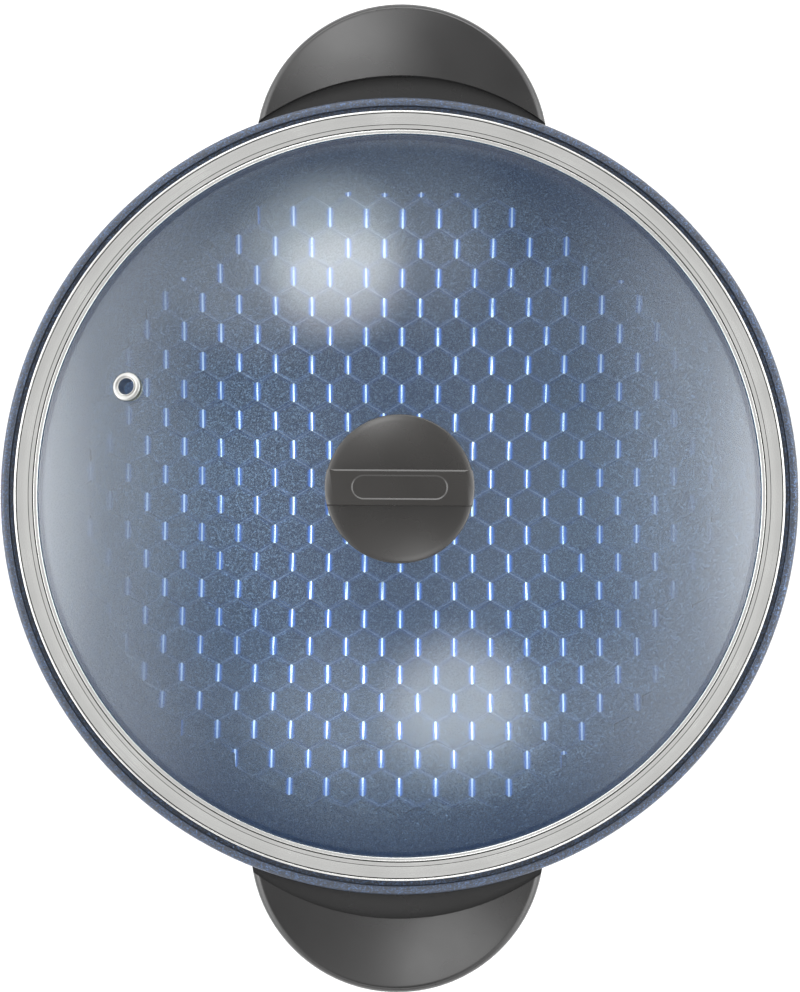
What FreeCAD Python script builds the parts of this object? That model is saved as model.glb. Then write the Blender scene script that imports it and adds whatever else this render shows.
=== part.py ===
import FreeCAD, Part

import math
import operator
import os
from types import SimpleNamespace

import Sketcher

# An electric wok: a cast bowl on a moulded base, two side handles, a glass lid in a steel band and a
# heat controller that plugs in under the flange. Millimetres, +Z up. The origin lies on the table
# under the bowl's axis, the handles lie along Y and the controller plugs in along X.

DRIVING_SIZES = {
    # bowl, from the flange down
    "flange_radius": 190.0,
    "flange_height": 150.0,
    "flange_edge": 7.5,
    "flange_width": 15.0,
    "flange_round": 2.4,
    "lip_width": 4.0,
    "lip_break": 0.6,
    "rebate_depth": 4.0,
    "ledge_width": 14.0,
    "mouth_step": 4.85,
    "bowl_wall": 3.0,
    "bowl_floor": 52.0,
    # cast ring, terminal block and probe boss under the bowl, and the element in them
    "ring_radius": 62.0,
    "ring_height": 46.0,
    "tube_width": 8.0,
    "tube_foot": 4.4,
    "tube_height": 7.6,
    "tube_side": 2.6,
    "tube_cover": 1.5,
    "ring_side": 4.0,
    "cast_draft": 1.5,
    "bend_radius": 9.0,
    "leg_offset": 14.0,
    "block_start": 40.0,
    "block_side": 6.0,
    "tube_stub": 4.0,
    "pin_radius": 3.0,
    "pin_length": 20.0,
    "boss_wall": 3.7,
    "boss_start": 12.0,
    "probe_radius": 3.0,
    "probe_gap": 0.3,
    "probe_tip": 22.0,
    "probe_end_gap": 2.0,
    # posts that hold base, heat shield and bowl together
    "post_inset": 16.0,
    "post_count": 3,
    "post_angle": 60.0,
    "post_radius": 6.0,
    "post_height": 31.0,
    "screw_radius": 2.0,
    "screw_head": 3.8,
    "screw_head_height": 2.6,
    "screw_gap": 0.3,
    "screw_grip": 10.0,
    "base_screw_depth": 20.0,
    # base
    "base_bottom": 4.0,
    "base_floor": 3.0,
    "skirt_foot": 111.0,
    "skirt_top": 98.0,
    "skirt_wall": 3.5,
    "skirt_chamfer": 3.0,
    "seat_gap": 0.3,
    "vent_width": 3.4,
    "vent_inner": 36.0,
    "vent_outer": 64.0,
    "vent_count": 18,
    "foot_count": 4,
    "foot_angle": 45.0,
    "foot_inset": 16.0,
    "foot_radius": 8.0,
    "foot_taper": 1.0,
    "foot_seat": 3.0,
    "foot_seat_wall": 3.0,
    # heat shield
    "sheet": 1.0,
    "shield_hole": 20.0,
    "shield_drop": 4.0,
    "shield_margin": 2.0,
    # inlet
    "inlet_width": 54.0,
    "inlet_low": 28.0,
    "inlet_headroom": 1.5,
    "inlet_wall": 2.0,
    "inlet_length": 28.0,
    "inlet_gap": 0.3,
    "strap_width": 8.0,
    "strap_sheet": 0.8,
    # handles
    "handle_inset": 23.4,
    "handle_radius": 70.0,
    "handle_drop": 9.0,
    "handle_depth": 26.0,
    "handle_crown": 340.0,
    "handle_edge": 12.0,
    "handle_chamfer": 2.5,
    "recess_radius": 119.0,
    "recess_width": 11.5,
    "handle_wall": 3.0,
    "grip_margin": 6.0,
    "grip_roof": 10.0,
    "grip_rib": 2.4,
    "grip_rib_spacing": 22.0,
    "lug_width": 60.0,
    "lug_reach": 14.0,
    "lug_depth": 22.0,
    "shoulder_inset": 13.0,
    "tongue_width": 68.0,
    "tongue_gap": 1.7,
    "handle_screw_spacing": 40.0,
    "handle_screw_inset": 8.0,
    # lid
    "lid_side_gap": 2.4,
    "rim_sheet": 0.8,
    "rim_bend": 0.8,
    "glass_side_gap": 5.6,
    "glass_wall": 4.0,
    "glass_flat": 6.0,
    "glass_rise": 42.0,
    "rim_gap": 0.3,
    "rim_foot": 4.0,
    "rim_hem": 0.7,
    "rim_hem_width": 2.0,
    "rim_groove": 0.9,
    "rim_crown": 7.0,
    "rim_band": 6.1,
    "knob_hole": 3.5,
    "vent_inset": 33.5,
    "vent_bearing": 159.0,
    "vent_bore": 3.9,
    "eyelet_wall": 0.7,
    "eyelet_flange": 6.6,
    "eyelet_sheet": 0.6,
    "gasket_radius": 6.2,
    "gasket_height": 0.8,
    # knob, from the glass up
    "seal_height": 1.2,
    "seal_radius": 12.0,
    "lower_seal_radius": 10.0,
    "collar_radius": 20.0,
    "collar_top_radius": 17.0,
    "collar_height": 4.0,
    "stem_radius": 15.0,
    "cap_radius": 35.0,
    "cap_underside": 10.0,
    "cap_hollow": 3.0,
    "cap_edge": 4.5,
    "cap_crown": 130.0,
    "bar_width": 16.5,
    "bar_height": 34.0,
    "bar_end_height": 30.5,
    "bar_flat": 58.0,
    "panel_length": 43.0,
    "panel_width": 11.0,
    "panel_depth": 0.6,
    "insert_radius": 4.5,
    "insert_height": 14.0,
    "knob_screw_radius": 2.5,
    "washer_radius": 11.0,
    # controller
    "controller_width": 52.0,
    "controller_gap": 0.5,
    "controller_length": 67.5,
    "controller_low": 22.0,
    "controller_high": 64.0,
    "controller_wall": 2.4,
    "controller_nose_round": 8.0,
    "controller_tail_round": 16.0,
    "controller_bevel": 2.0,
    "block_gap": 4.0,
    "block_seat": 4.5,
    "block_half_width": 20.0,
    "block_half_height": 11.0,
    "socket_depth": 21.0,
    "sleeve_wall": 0.8,
    "sleeve_gap": 0.3,
    "leaf_width": 6.0,
    "leaf_sheet": 0.5,
    "frame_length": 21.0,
    "frame_width": 24.0,
    "blade_width": 5.0,
    "blade_sheet": 0.6,
    "blade_spacing": 12.0,
    "spindle_radius": 3.0,
    "running_gap": 0.06,
    "spindle_foot": 50.0,
    "dial_setback": 32.5,
    "dial_radius": 20.0,
    "dial_gap": 0.4,
    "dial_height": 11.0,
    "dial_bevel": 1.5,
    "dial_grip_width": 7.0,
    "dial_grip_height": 5.0,
    "lens_gap": 1.5,
    "lens_radius": 3.0,
    "lens_rise": 1.2,
    "lamp_radius": 2.2,
    "lamp_height": 9.0,
    "gland_bore": 4.0,
    "gland_radius": 7.5,
    "gland_flange": 9.5,
    "gland_flange_width": 2.5,
    "gland_inside": 5.0,
    "gland_outside": 12.0,
    "housing_screw_radius": 1.5,
    "housing_screw_head": 2.8,
    "housing_screw_head_height": 1.8,
    "housing_screw_length": 26.0,
    "housing_screw_setback": 39.5,
    "housing_screw_spacing": 38.0,
    "housing_post_radius": 3.6,
    # release trigger
    "trigger_setback": 11.5,
    "trigger_pivot_height": 18.5,
    "trigger_pin_radius": 1.5,
    "trigger_width": 20.0,
    "trigger_inset": 10.0,
    "trigger_thickness": 3.5,
    "trigger_bottom": 13.5,
    "trigger_lip": 6.0,
    "trigger_side_gap": 0.4,
    "trigger_ear": 3.0,
    "trigger_slot_depth": 8.5,
    "trigger_hub": 3.4,
    "spring_radius": 2.7,
    "spring_width": 7.0,
}

OPERATIONS = {"+": operator.add, "-": operator.sub, "*": operator.mul, "/": operator.truediv}


class Size:
    """A size with the formula that gives it from the sheet, so what is drawn with it stays bound."""

    def __init__(self, value, formula):
        self.value = float(value)
        self.formula = formula

    def __add__(self, other):
        return combined(self, "+", other)

    def __radd__(self, other):
        return combined(other, "+", self)

    def __sub__(self, other):
        return combined(self, "-", other)

    def __rsub__(self, other):
        return combined(other, "-", self)

    def __mul__(self, other):
        return combined(self, "*", other)

    def __rmul__(self, other):
        return combined(other, "*", self)

    def __truediv__(self, other):
        return combined(self, "/", other)

    def __rtruediv__(self, other):
        return combined(other, "/", self)

    def __neg__(self):
        return combined(-1, "*", self)


def as_size(number):
    return number if isinstance(number, Size) else Size(number, repr(float(number)))


def combined(left, sign, right):
    left, right = as_size(left), as_size(right)
    value = OPERATIONS[sign](left.value, right.value)
    return Size(value, f"({left.formula} {sign} {right.formula})")


def root(size):
    return Size(math.sqrt(size.value), f"sqrt({size.formula})")


def cosine(degrees):
    degrees = as_size(degrees)
    return Size(math.cos(math.radians(degrees.value)), f"cos({degrees.formula})")


def sine(degrees):
    degrees = as_size(degrees)
    return Size(math.sin(math.radians(degrees.value)), f"sin({degrees.formula})")


def rise_of(curve, reach):
    """Height of a circle's edge above its centre, at a distance across from it."""
    return root(curve * curve - reach * reach)


doc = FreeCAD.newDocument("electric_wok")
sheet = doc.addObject("Spreadsheet::Sheet", "Sizes")
for row, (alias, value) in enumerate(DRIVING_SIZES.items(), start=1):
    sheet.set(f"A{row}", alias)
    sheet.set(f"B{row}", str(value))
    sheet.setAlias(f"B{row}", alias)
doc.recompute()
s = SimpleNamespace(**{name: Size(value, f"Sizes.{name}") for name, value in DRIVING_SIZES.items()})


def bind(thing, path, size):
    """Sets one property of an object and keeps it bound to the sheet."""
    thing.setExpression(path, as_size(size).formula)


def place(thing, x=0, y=0, z=0):
    for axis, size in zip("xyz", (x, y, z)):
        bind(thing, f"Placement.Base.{axis}", size)
    return thing


def circle(x, y, radius):
    return SimpleNamespace(x=as_size(x), y=as_size(y), radius=as_size(radius))


def rectangle(x_low, x_high, y_low, y_high):
    return [(x_low, y_low), (x_high, y_low), (x_high, y_high), (x_low, y_high)]


def fix_point(sketch, edge, end, x, y):
    """Holds one end of an edge at its distances from the sketch's origin."""
    for kind, size, axis in (("DistanceX", x, -2), ("DistanceY", y, -1)):
        if not isinstance(size, Size) and size == 0:
            sketch.addConstraint(Sketcher.Constraint("PointOnObject", edge, end, axis))
        else:
            size = as_size(size)
            rule = sketch.addConstraint(Sketcher.Constraint(kind, -1, 1, edge, end, size.value))
            bind(sketch, f"Constraints[{rule}]", size)


def arc_between(start, end, radius):
    """The short arc from start to end, clockwise where the radius is negative."""
    chord = end - start
    half = chord.Length / 2
    aside = math.sqrt(max(radius * radius - half * half, 0.0))
    left = FreeCAD.Vector(-chord.y, chord.x, 0).normalize()
    centre = start + chord * 0.5 + left * math.copysign(aside, radius)
    first, last = (start, end) if radius > 0 else (end, start)
    angles = [math.atan2(p.y - centre.y, p.x - centre.x) for p in (first, last)]
    if angles[1] < angles[0]:
        angles[1] += 2 * math.pi
    return Part.ArcOfCircle(Part.Circle(centre, FreeCAD.Vector(0, 0, 1), abs(radius)), *angles)


def draw_line(sketch, steps, closed=True):
    """Draws a run of edges. A pair in steps is a corner, and a lone size between two corners is the
    radius of the arc that joins them, positive where it runs anticlockwise."""
    corners, radii = [], []
    for step in steps:
        if isinstance(step, tuple):
            corners.append(step)
            radii.append(None)
        else:
            radii[-1] = as_size(step)
    count = len(corners)
    joins = []
    for i in range(count if closed else count - 1):
        start, end = (
            FreeCAD.Vector(as_size(x).value, as_size(y).value, 0)
            for x, y in (corners[i], corners[(i + 1) % count])
        )
        if radii[i] is None:
            edge = sketch.addGeometry(Part.LineSegment(start, end))
            joins.append((edge, 1, 2))
        else:
            edge = sketch.addGeometry(arc_between(start, end, radii[i].value))
            joins.append((edge, 1, 2) if radii[i].value > 0 else (edge, 2, 1))
    for before, after in zip(joins, joins[1:] + joins[:1] if closed else joins[1:]):
        sketch.addConstraint(Sketcher.Constraint("Coincident", before[0], before[2], after[0], after[1]))
    for (edge, start, end), corner in zip(joins, corners):
        fix_point(sketch, edge, start, *corner)
    if not closed:
        fix_point(sketch, joins[-1][0], joins[-1][2], *corners[-1])
    for (edge, start, end), radius in zip(joins, radii):
        if radius is not None:
            size = radius if radius.value > 0 else -radius
            rule = sketch.addConstraint(Sketcher.Constraint("Radius", edge, size.value))
            bind(sketch, f"Constraints[{rule}]", size)


def draw_circle(sketch, shape):
    middle = FreeCAD.Vector(shape.x.value, shape.y.value, 0)
    edge = sketch.addGeometry(Part.Circle(middle, FreeCAD.Vector(0, 0, 1), shape.radius.value))
    fix_point(sketch, edge, 3, shape.x, shape.y)
    rule = sketch.addConstraint(Sketcher.Constraint("Radius", edge, shape.radius.value))
    bind(sketch, f"Constraints[{rule}]", shape.radius)


class Piece:
    """A body made feature by feature, each drawn on or beside one of its own planes.

    Plan features are drawn in X and Y and run upwards, side features in Y and Z and run along X, and
    end features in X and Z and run along Y.
    """

    PLANES = {"up": ("XY_Plane", 1), "along_x": ("YZ_Plane", 1), "along_y": ("XZ_Plane", -1)}

    def __init__(self, label):
        self.body = doc.addObject("PartDesign::Body", label)
        self.body.Label = label
        self.label = label
        self.count = 0

    def sketch(self, way, offset):
        self.count += 1
        role, sign = self.PLANES[way]
        sketch = self.body.newObject("Sketcher::SketchObject", f"{self.label}_outline_{self.count}")
        plane = next(item for item in self.body.Origin.OriginFeatures if item.Role == role)
        sketch.AttachmentSupport = (plane, [""])
        sketch.MapMode = "FlatFace"
        bind(sketch, "AttachmentOffset.Base.z", offset * sign)
        return sketch

    def draw(self, way, offset, shapes):
        sketch = self.sketch(way, offset)
        for shape in shapes:
            if isinstance(shape, SimpleNamespace):
                draw_circle(sketch, shape)
            else:
                draw_line(sketch, shape)
        return sketch

    def feature(self, kind, sketch):
        feature = self.body.newObject(f"PartDesign::{kind}", f"{self.label}_{kind.lower()}_{self.count}")
        feature.Profile = sketch
        return feature

    def spin(self, *steps, cut=False):
        """Turns an outline of (distance from the axis, height) about the upright axis."""
        sketch = self.draw("along_y", 0, [list(steps)])
        feature = self.feature("Groove" if cut else "Revolution", sketch)
        feature.ReferenceAxis = (sketch, ["V_Axis"])
        feature.Angle = 360
        return feature

    def pad(self, way, low, high, *shapes):
        """Adds the shapes between two places along the way they run."""
        forward = self.PLANES[way][1] > 0
        sketch = self.draw(way, as_size(low if forward else high), shapes)
        feature = self.feature("Pad", sketch)
        bind(feature, "Length", high - low)
        return feature

    def pocket(self, way, low, high, *shapes):
        """Cuts the shapes out between two places along the way they run."""
        forward = self.PLANES[way][1] > 0
        sketch = self.draw(way, as_size(high if forward else low), shapes)
        feature = self.feature("Pocket", sketch)
        bind(feature, "Length", high - low)
        return feature

    def pipe(self, path, profile_x, profile, cut=False):
        """Runs a round section along a level path that starts at profile_x, heading along X."""
        spine = self.sketch("up", s.ring_height)
        draw_line(spine, path, closed=False)
        section = self.draw("along_x", profile_x, [profile])
        feature = self.feature("SubtractivePipe" if cut else "AdditivePipe", section)
        feature.Spine = (spine, [f"Edge{i + 1}" for i in range(spine.GeometryCount)])
        return feature

    def repeat(self, feature, count):
        """Repeats a feature evenly round the upright axis."""
        pattern = self.body.newObject("PartDesign::PolarPattern", f"{self.label}_pattern")
        pattern.Originals = [feature]
        axis = next(item for item in self.body.Origin.OriginFeatures if item.Role == "Z_Axis")
        pattern.Axis = (axis, [""])
        pattern.Angle = 360
        bind(pattern, "Occurrences", count)
        self.body.Tip = pattern
        return pattern


def primitive(kind, name, turn=None, at=(0, 0, 0), **sizes):
    """One of the plain solids, with its sizes bound, turned so that its own Z runs along an axis."""
    item = doc.addObject(f"Part::{kind}", name)
    for key, size in sizes.items():
        bind(item, key, size)
    if turn:
        item.Placement.Rotation = FreeCAD.Rotation(FreeCAD.Vector(0, 0, 1), FreeCAD.Vector(*turn))
    return place(item, *at)


def cylinder(name, radius, length, at, turn=None):
    return primitive("Cylinder", name, turn, at, Radius=radius, Height=length)


def cone(name, foot, top, length, at, turn=None):
    return primitive("Cone", name, turn, at, Radius1=foot, Radius2=top, Height=length)


def box(name, low, high):
    sizes = {key: b - a for key, a, b in zip(("Length", "Width", "Height"), low, high)}
    return primitive("Box", name, at=low, **sizes)


def less(label, base, *tools):
    """The base with the tools' shapes cut out of it."""
    for i, tool in enumerate(tools):
        last = i == len(tools) - 1
        cut = doc.addObject("Part::Cut", label if last else f"{label}_cut_{i + 1}")
        cut.Base, cut.Tool = base, tool
        base = cut
    base.Label = label
    return base


def joined(label, *items):
    fuse = doc.addObject("Part::MultiFuse", label)
    fuse.Shapes = list(items)
    fuse.Label = label
    return fuse


def group(label, *items):
    """Separate solids that share one node."""
    compound = doc.addObject("Part::Compound", label)
    compound.Links = list(items)
    compound.Label = label
    return compound


def around(reach, bearing):
    return reach * cosine(bearing), reach * sine(bearing)


def even_bearings(first, count):
    """Bearings of a number of places spread evenly round the axis."""
    return [first + FULL_TURN / count * i for i in range(int(count.value))]


TO_X = (1, 0, 0)
SIDES = (-1, 1)
FULL_TURN = 360
# cubic millimetres that a cut has to take away at least
LEAST_CUT = 0.001

# Places that several pieces share
ledge_height = s.flange_height - s.rebate_depth
rebate_radius = s.flange_radius - s.lip_width
mouth_radius = rebate_radius - s.ledge_width
bowl_depth = ledge_height - s.mouth_step - s.bowl_floor
bowl_curve = (mouth_radius * mouth_radius + bowl_depth * bowl_depth) / (bowl_depth * 2)
ball_height = s.bowl_floor + bowl_curve
outer_curve = bowl_curve + s.bowl_wall


def inside_of_bowl(reach):
    return ball_height - rise_of(bowl_curve, as_size(reach))


def outside_of_bowl(reach):
    return ball_height - rise_of(outer_curve, as_size(reach))


# base, from its foot up, and what plugs into it
skirt_start = s.base_bottom + s.skirt_chamfer
skirt_end = outside_of_bowl(s.skirt_top) - s.seat_gap
skirt_lean = (s.skirt_foot - s.skirt_top) / (skirt_end - skirt_start)
foot_circle = s.skirt_foot - s.foot_inset
foot_bearings = even_bearings(s.foot_angle, s.foot_count)
inlet_end = s.skirt_foot - skirt_lean * (s.controller_low - skirt_start)
inlet_half = s.inlet_width / 2
block_end = inlet_end - s.inlet_length
block_half = s.leg_offset + s.block_side
inlet_high = outside_of_bowl(block_end) - s.inlet_headroom
controller_start = inlet_end + s.controller_gap
controller_end = controller_start + s.controller_length
block_face = block_end + s.inlet_wall + s.block_gap
block_back = controller_start + s.block_seat
dial_place = controller_start + s.dial_setback
lens_place = dial_place + s.dial_radius + s.lens_gap + s.lens_radius
trigger_pivot = controller_start + s.trigger_setback

# element, posts and screws
tube_low = s.ring_height - s.tube_height / 2
cast_bottom = tube_low - s.tube_cover
ring_half = s.tube_width / 2 + s.ring_side
probe_bore = s.probe_radius + s.probe_gap
boss_radius = probe_bore + s.boss_wall
post_circle = s.skirt_top - s.post_inset
post_bearings = even_bearings(s.post_angle, s.post_count)
post_joint = s.post_height + s.sheet
screw_hole = s.screw_radius + s.screw_gap
head_recess = s.screw_head + s.screw_gap

# handles
handle_centre = s.flange_radius - s.handle_inset
handle_top = s.flange_height - s.handle_drop
handle_bottom = handle_top - s.handle_depth
grip_ceiling = handle_top - s.grip_roof
lug_end = mouth_radius + s.lug_reach
lug_bottom = s.flange_height - s.lug_depth
handle_screw_reach = lug_end - s.handle_screw_inset

# lid
lid_radius = rebate_radius - s.lid_side_gap
glass_radius = lid_radius - s.glass_side_gap
glass_seat = ledge_height + s.rim_sheet
glass_flat_top = glass_seat + s.glass_wall
dome_reach = glass_radius - s.glass_flat
dome_top = glass_flat_top + s.glass_rise
dome_curve = (dome_reach * dome_reach + s.glass_rise * s.glass_rise) / (s.glass_rise * 2)
dome_height = dome_top - dome_curve
inner_dome = dome_curve - s.glass_wall
vent_reach = dome_reach - s.vent_inset


def tube_section(y):
    """The element's flattened section, widest at its top, seen along X."""
    high = tube_low + s.tube_height
    half, foot = s.tube_width / 2, s.tube_foot / 2
    return [
        (y - half, high),
        (y - half, high - s.tube_side),
        (y - foot, tube_low),
        (y + foot, tube_low),
        (y + half, high - s.tube_side),
        (y + half, high),
    ]


def element_path(end):
    """The element's centre line in plan: leg, bend, the ring the long way round, bend and leg."""
    ring, bend = s.ring_radius, s.bend_radius
    bend_y = s.leg_offset + bend
    bend_x = rise_of(ring + bend, bend_y)
    share = ring / (ring + bend)
    return [
        (end, s.leg_offset),
        (bend_x, s.leg_offset),
        -bend,
        (bend_x * share, bend_y * share),
        ring,
        (0, ring),
        ring,
        (-ring, 0),
        ring,
        (0, -ring),
        ring,
        (bend_x * share, -bend_y * share),
        -bend,
        (bend_x, -s.leg_offset),
        (end, -s.leg_offset),
    ]


def make_bowl():
    """Cast bowl: turned outside, cast lugs and bosses, then the hollow and the holes."""
    bowl = Piece("wok_bowl")
    in_ring, out_ring = s.ring_radius - ring_half, s.ring_radius + ring_half
    flange_root = s.flange_radius - s.flange_width
    bowl.spin(
        (0, outside_of_bowl(0)),
        outer_curve,
        (in_ring, outside_of_bowl(in_ring)),
        (in_ring + s.cast_draft, cast_bottom),
        (out_ring - s.cast_draft, cast_bottom),
        (out_ring, outside_of_bowl(out_ring)),
        outer_curve,
        (flange_root, outside_of_bowl(flange_root)),
        (s.flange_radius, s.flange_height - s.flange_edge),
        (s.flange_radius, s.flange_height - s.flange_round),
        (s.flange_radius - s.flange_round / 3, s.flange_height - s.flange_round / 3),
        (s.flange_radius - s.flange_round, s.flange_height),
        (0, s.flange_height),
    )
    block_top = outside_of_bowl(block_end + s.cast_draft)
    bowl.pad("up", cast_bottom, block_top, rectangle(s.block_start, block_end, -block_half, block_half))
    boss_top = outside_of_bowl(s.block_start + s.cast_draft)
    bowl.pad(
        "along_x",
        s.boss_start,
        s.block_start + s.cast_draft,
        [
            (-boss_radius, boss_top),
            (-boss_radius, s.ring_height),
            boss_radius,
            (0, s.ring_height - boss_radius),
            boss_radius,
            (boss_radius, s.ring_height),
            (boss_radius, boss_top),
        ],
    )
    posts = [circle(*around(post_circle, bearing), s.post_radius) for bearing in post_bearings]
    post_top = outside_of_bowl(post_circle + s.post_radius)
    bowl.pad("up", post_joint, post_top, *posts)
    half_lug = s.lug_width / 2
    lug_root = rise_of(bowl_curve, ball_height - lug_bottom)
    bowl.pad(
        "up",
        lug_bottom,
        s.flange_height - s.flange_edge,
        rectangle(-half_lug, half_lug, lug_root, lug_end),
        rectangle(-half_lug, half_lug, -lug_end, -lug_root),
    )
    above = s.flange_height + s.rebate_depth
    bowl.spin(
        (0, s.bowl_floor),
        bowl_curve,
        (mouth_radius, inside_of_bowl(mouth_radius)),
        (mouth_radius, ledge_height),
        (rebate_radius, ledge_height),
        (rebate_radius, s.flange_height - s.lip_break),
        (rebate_radius + s.lip_break, s.flange_height),
        (rebate_radius + s.lip_break, above),
        (0, above),
        cut=True,
    )
    bowl.pocket(
        "along_x", s.probe_tip - s.probe_end_gap, block_end, circle(0, s.ring_height, probe_bore)
    )
    bowl.pocket(
        "up",
        post_joint,
        post_joint + s.screw_grip,
        *[circle(*around(post_circle, bearing), s.screw_radius) for bearing in post_bearings],
    )
    bowl.pocket(
        "up",
        lug_bottom,
        lug_bottom + s.screw_grip,
        *[
            circle(x * s.handle_screw_spacing / 2, y * handle_screw_reach, s.screw_radius)
            for x in SIDES
            for y in SIDES
        ],
    )
    bowl.pipe(element_path(block_end), block_end, tube_section(s.leg_offset), cut=True)
    return bowl.body


def make_element():
    """Sheathed element: a flattened tube bent into an open ring with two level legs."""
    element = Piece("heating_element")
    end = block_end + s.tube_stub
    element.pipe(element_path(end), end, tube_section(s.leg_offset))
    pins = [
        cylinder(
            f"terminal_pin_{name}",
            s.pin_radius,
            s.pin_length,
            (end, side * s.leg_offset, s.ring_height),
            TO_X,
        )
        for side, name in zip(SIDES, ("right", "left"))
    ]
    return [element.body, group("terminal_pins", *pins)]


def make_base():
    """Moulded base: a flared skirt that seats on the bowl, with posts, foot seats and vent slots."""
    base = Piece("base_shell")
    floor_top = s.base_bottom + s.base_floor
    skirt_inside = s.skirt_top - s.skirt_wall
    base.spin(
        (0, s.base_bottom),
        (s.skirt_foot - s.skirt_chamfer, s.base_bottom),
        (s.skirt_foot, skirt_start),
        (s.skirt_top, skirt_end),
        (skirt_inside, outside_of_bowl(skirt_inside) - s.seat_gap),
        (s.skirt_foot - s.skirt_wall, floor_top),
        (0, floor_top),
    )
    posts = [circle(*around(post_circle, bearing), s.post_radius) for bearing in post_bearings]
    base.pad("up", s.base_bottom + s.base_floor / 2, s.post_height, *posts)
    seats = [
        circle(*around(foot_circle, bearing), s.foot_radius + s.foot_seat_wall)
        for bearing in foot_bearings
    ]
    base.pad("up", s.base_bottom, floor_top + s.foot_seat, *seats)
    base.pocket(
        "up",
        s.base_bottom,
        s.base_bottom + s.foot_seat,
        *[circle(*around(foot_circle, bearing), s.foot_radius) for bearing in foot_bearings],
    )
    base.pocket(
        "up",
        s.base_bottom,
        s.base_screw_depth + s.screw_head_height,
        *[circle(*around(post_circle, bearing), head_recess) for bearing in post_bearings],
    )
    base.pocket(
        "up",
        s.base_screw_depth,
        s.post_height,
        *[circle(*around(post_circle, bearing), screw_hole) for bearing in post_bearings],
    )
    window = inlet_half + s.inlet_gap
    base.pocket(
        "along_x",
        s.skirt_top - s.skirt_wall * 2,
        s.skirt_foot,
        rectangle(-window, window, s.inlet_low - s.inlet_gap, inlet_high + s.inlet_gap),
    )
    half_vent = s.vent_width / 2
    vent = base.pocket(
        "up", s.base_bottom, floor_top, rectangle(s.vent_inner, s.vent_outer, -half_vent, half_vent)
    )
    base.repeat(vent, s.vent_count)
    return base.body


def make_feet():
    feet = [
        cone(
            f"foot_{i + 1}",
            s.foot_radius - s.foot_taper,
            s.foot_radius,
            s.base_bottom + s.foot_seat,
            (*around(foot_circle, bearing), 0),
        )
        for i, bearing in enumerate(foot_bearings)
    ]
    return group("rubber_feet", *feet)


def screw(name, x, y, head_low, head, head_height, shank, shank_length):
    """A pan-head screw that is driven upwards."""
    return joined(
        name,
        cylinder(f"{name}_head", head, head_height, (x, y, head_low)),
        cylinder(f"{name}_shank", shank, shank_length, (x, y, head_low + head_height)),
    )


def make_base_screws():
    length = post_joint + s.screw_grip - s.base_screw_depth - s.screw_head_height * 2
    return group(
        "base_screws",
        *[
            screw(
                f"base_screw_{i + 1}",
                *around(post_circle, bearing),
                s.base_screw_depth,
                s.screw_head,
                s.screw_head_height,
                s.screw_radius,
                length,
            )
            for i, bearing in enumerate(post_bearings)
        ],
    )


def make_heat_shield():
    """Pressed dish under the element, held between the posts and the bowl's bosses."""
    shield = Piece("heat_shield")
    low = s.post_height - s.shield_drop
    seat = s.post_radius + s.shield_margin
    slope, edge = post_circle - seat, post_circle + seat
    dish = slope - s.shield_drop
    shield.spin(
        (s.shield_hole, low),
        (dish, low),
        (slope, s.post_height),
        (edge, s.post_height),
        (edge, post_joint),
        (slope - s.sheet / 2, post_joint),
        (dish - s.sheet / 2, low + s.sheet),
        (s.shield_hole, low + s.sheet),
    )
    notch = inlet_half + s.inlet_wall
    notch_start = block_end - s.inlet_wall
    shield.pocket("up", low, post_joint, rectangle(notch_start, edge, -notch, notch))
    shield.pocket(
        "up",
        s.post_height,
        post_joint,
        *[circle(*around(post_circle, bearing), screw_hole) for bearing in post_bearings],
    )
    return shield.body


def make_inlet():
    """Guard round the terminal pins, and the earth strap on its floor."""
    shroud = Piece("inlet_shroud")
    wall = s.inlet_wall
    shroud.pad(
        "along_x",
        block_end,
        inlet_end,
        rectangle(-inlet_half, inlet_half, s.inlet_low, inlet_high),
    )
    shroud.pocket(
        "along_x",
        block_end + wall,
        inlet_end,
        rectangle(-inlet_half + wall, inlet_half - wall, s.inlet_low + wall, inlet_high - wall),
    )
    shroud.pocket(
        "along_x",
        block_end,
        block_end + wall,
        tube_section(-s.leg_offset),
        circle(0, s.ring_height, probe_bore),
        tube_section(s.leg_offset),
    )
    start = block_end + wall
    floor = s.inlet_low + wall
    half = s.strap_width / 2
    strap = joined(
        "earth_strap",
        box("strap_floor", (start, -half, floor), (inlet_end - wall, half, floor + s.strap_sheet)),
        box(
            "strap_back",
            (start, -half, floor),
            (start + s.strap_sheet, half, s.ring_height - probe_bore - s.strap_sheet),
        ),
    )
    return [shroud.body, strap]


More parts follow.
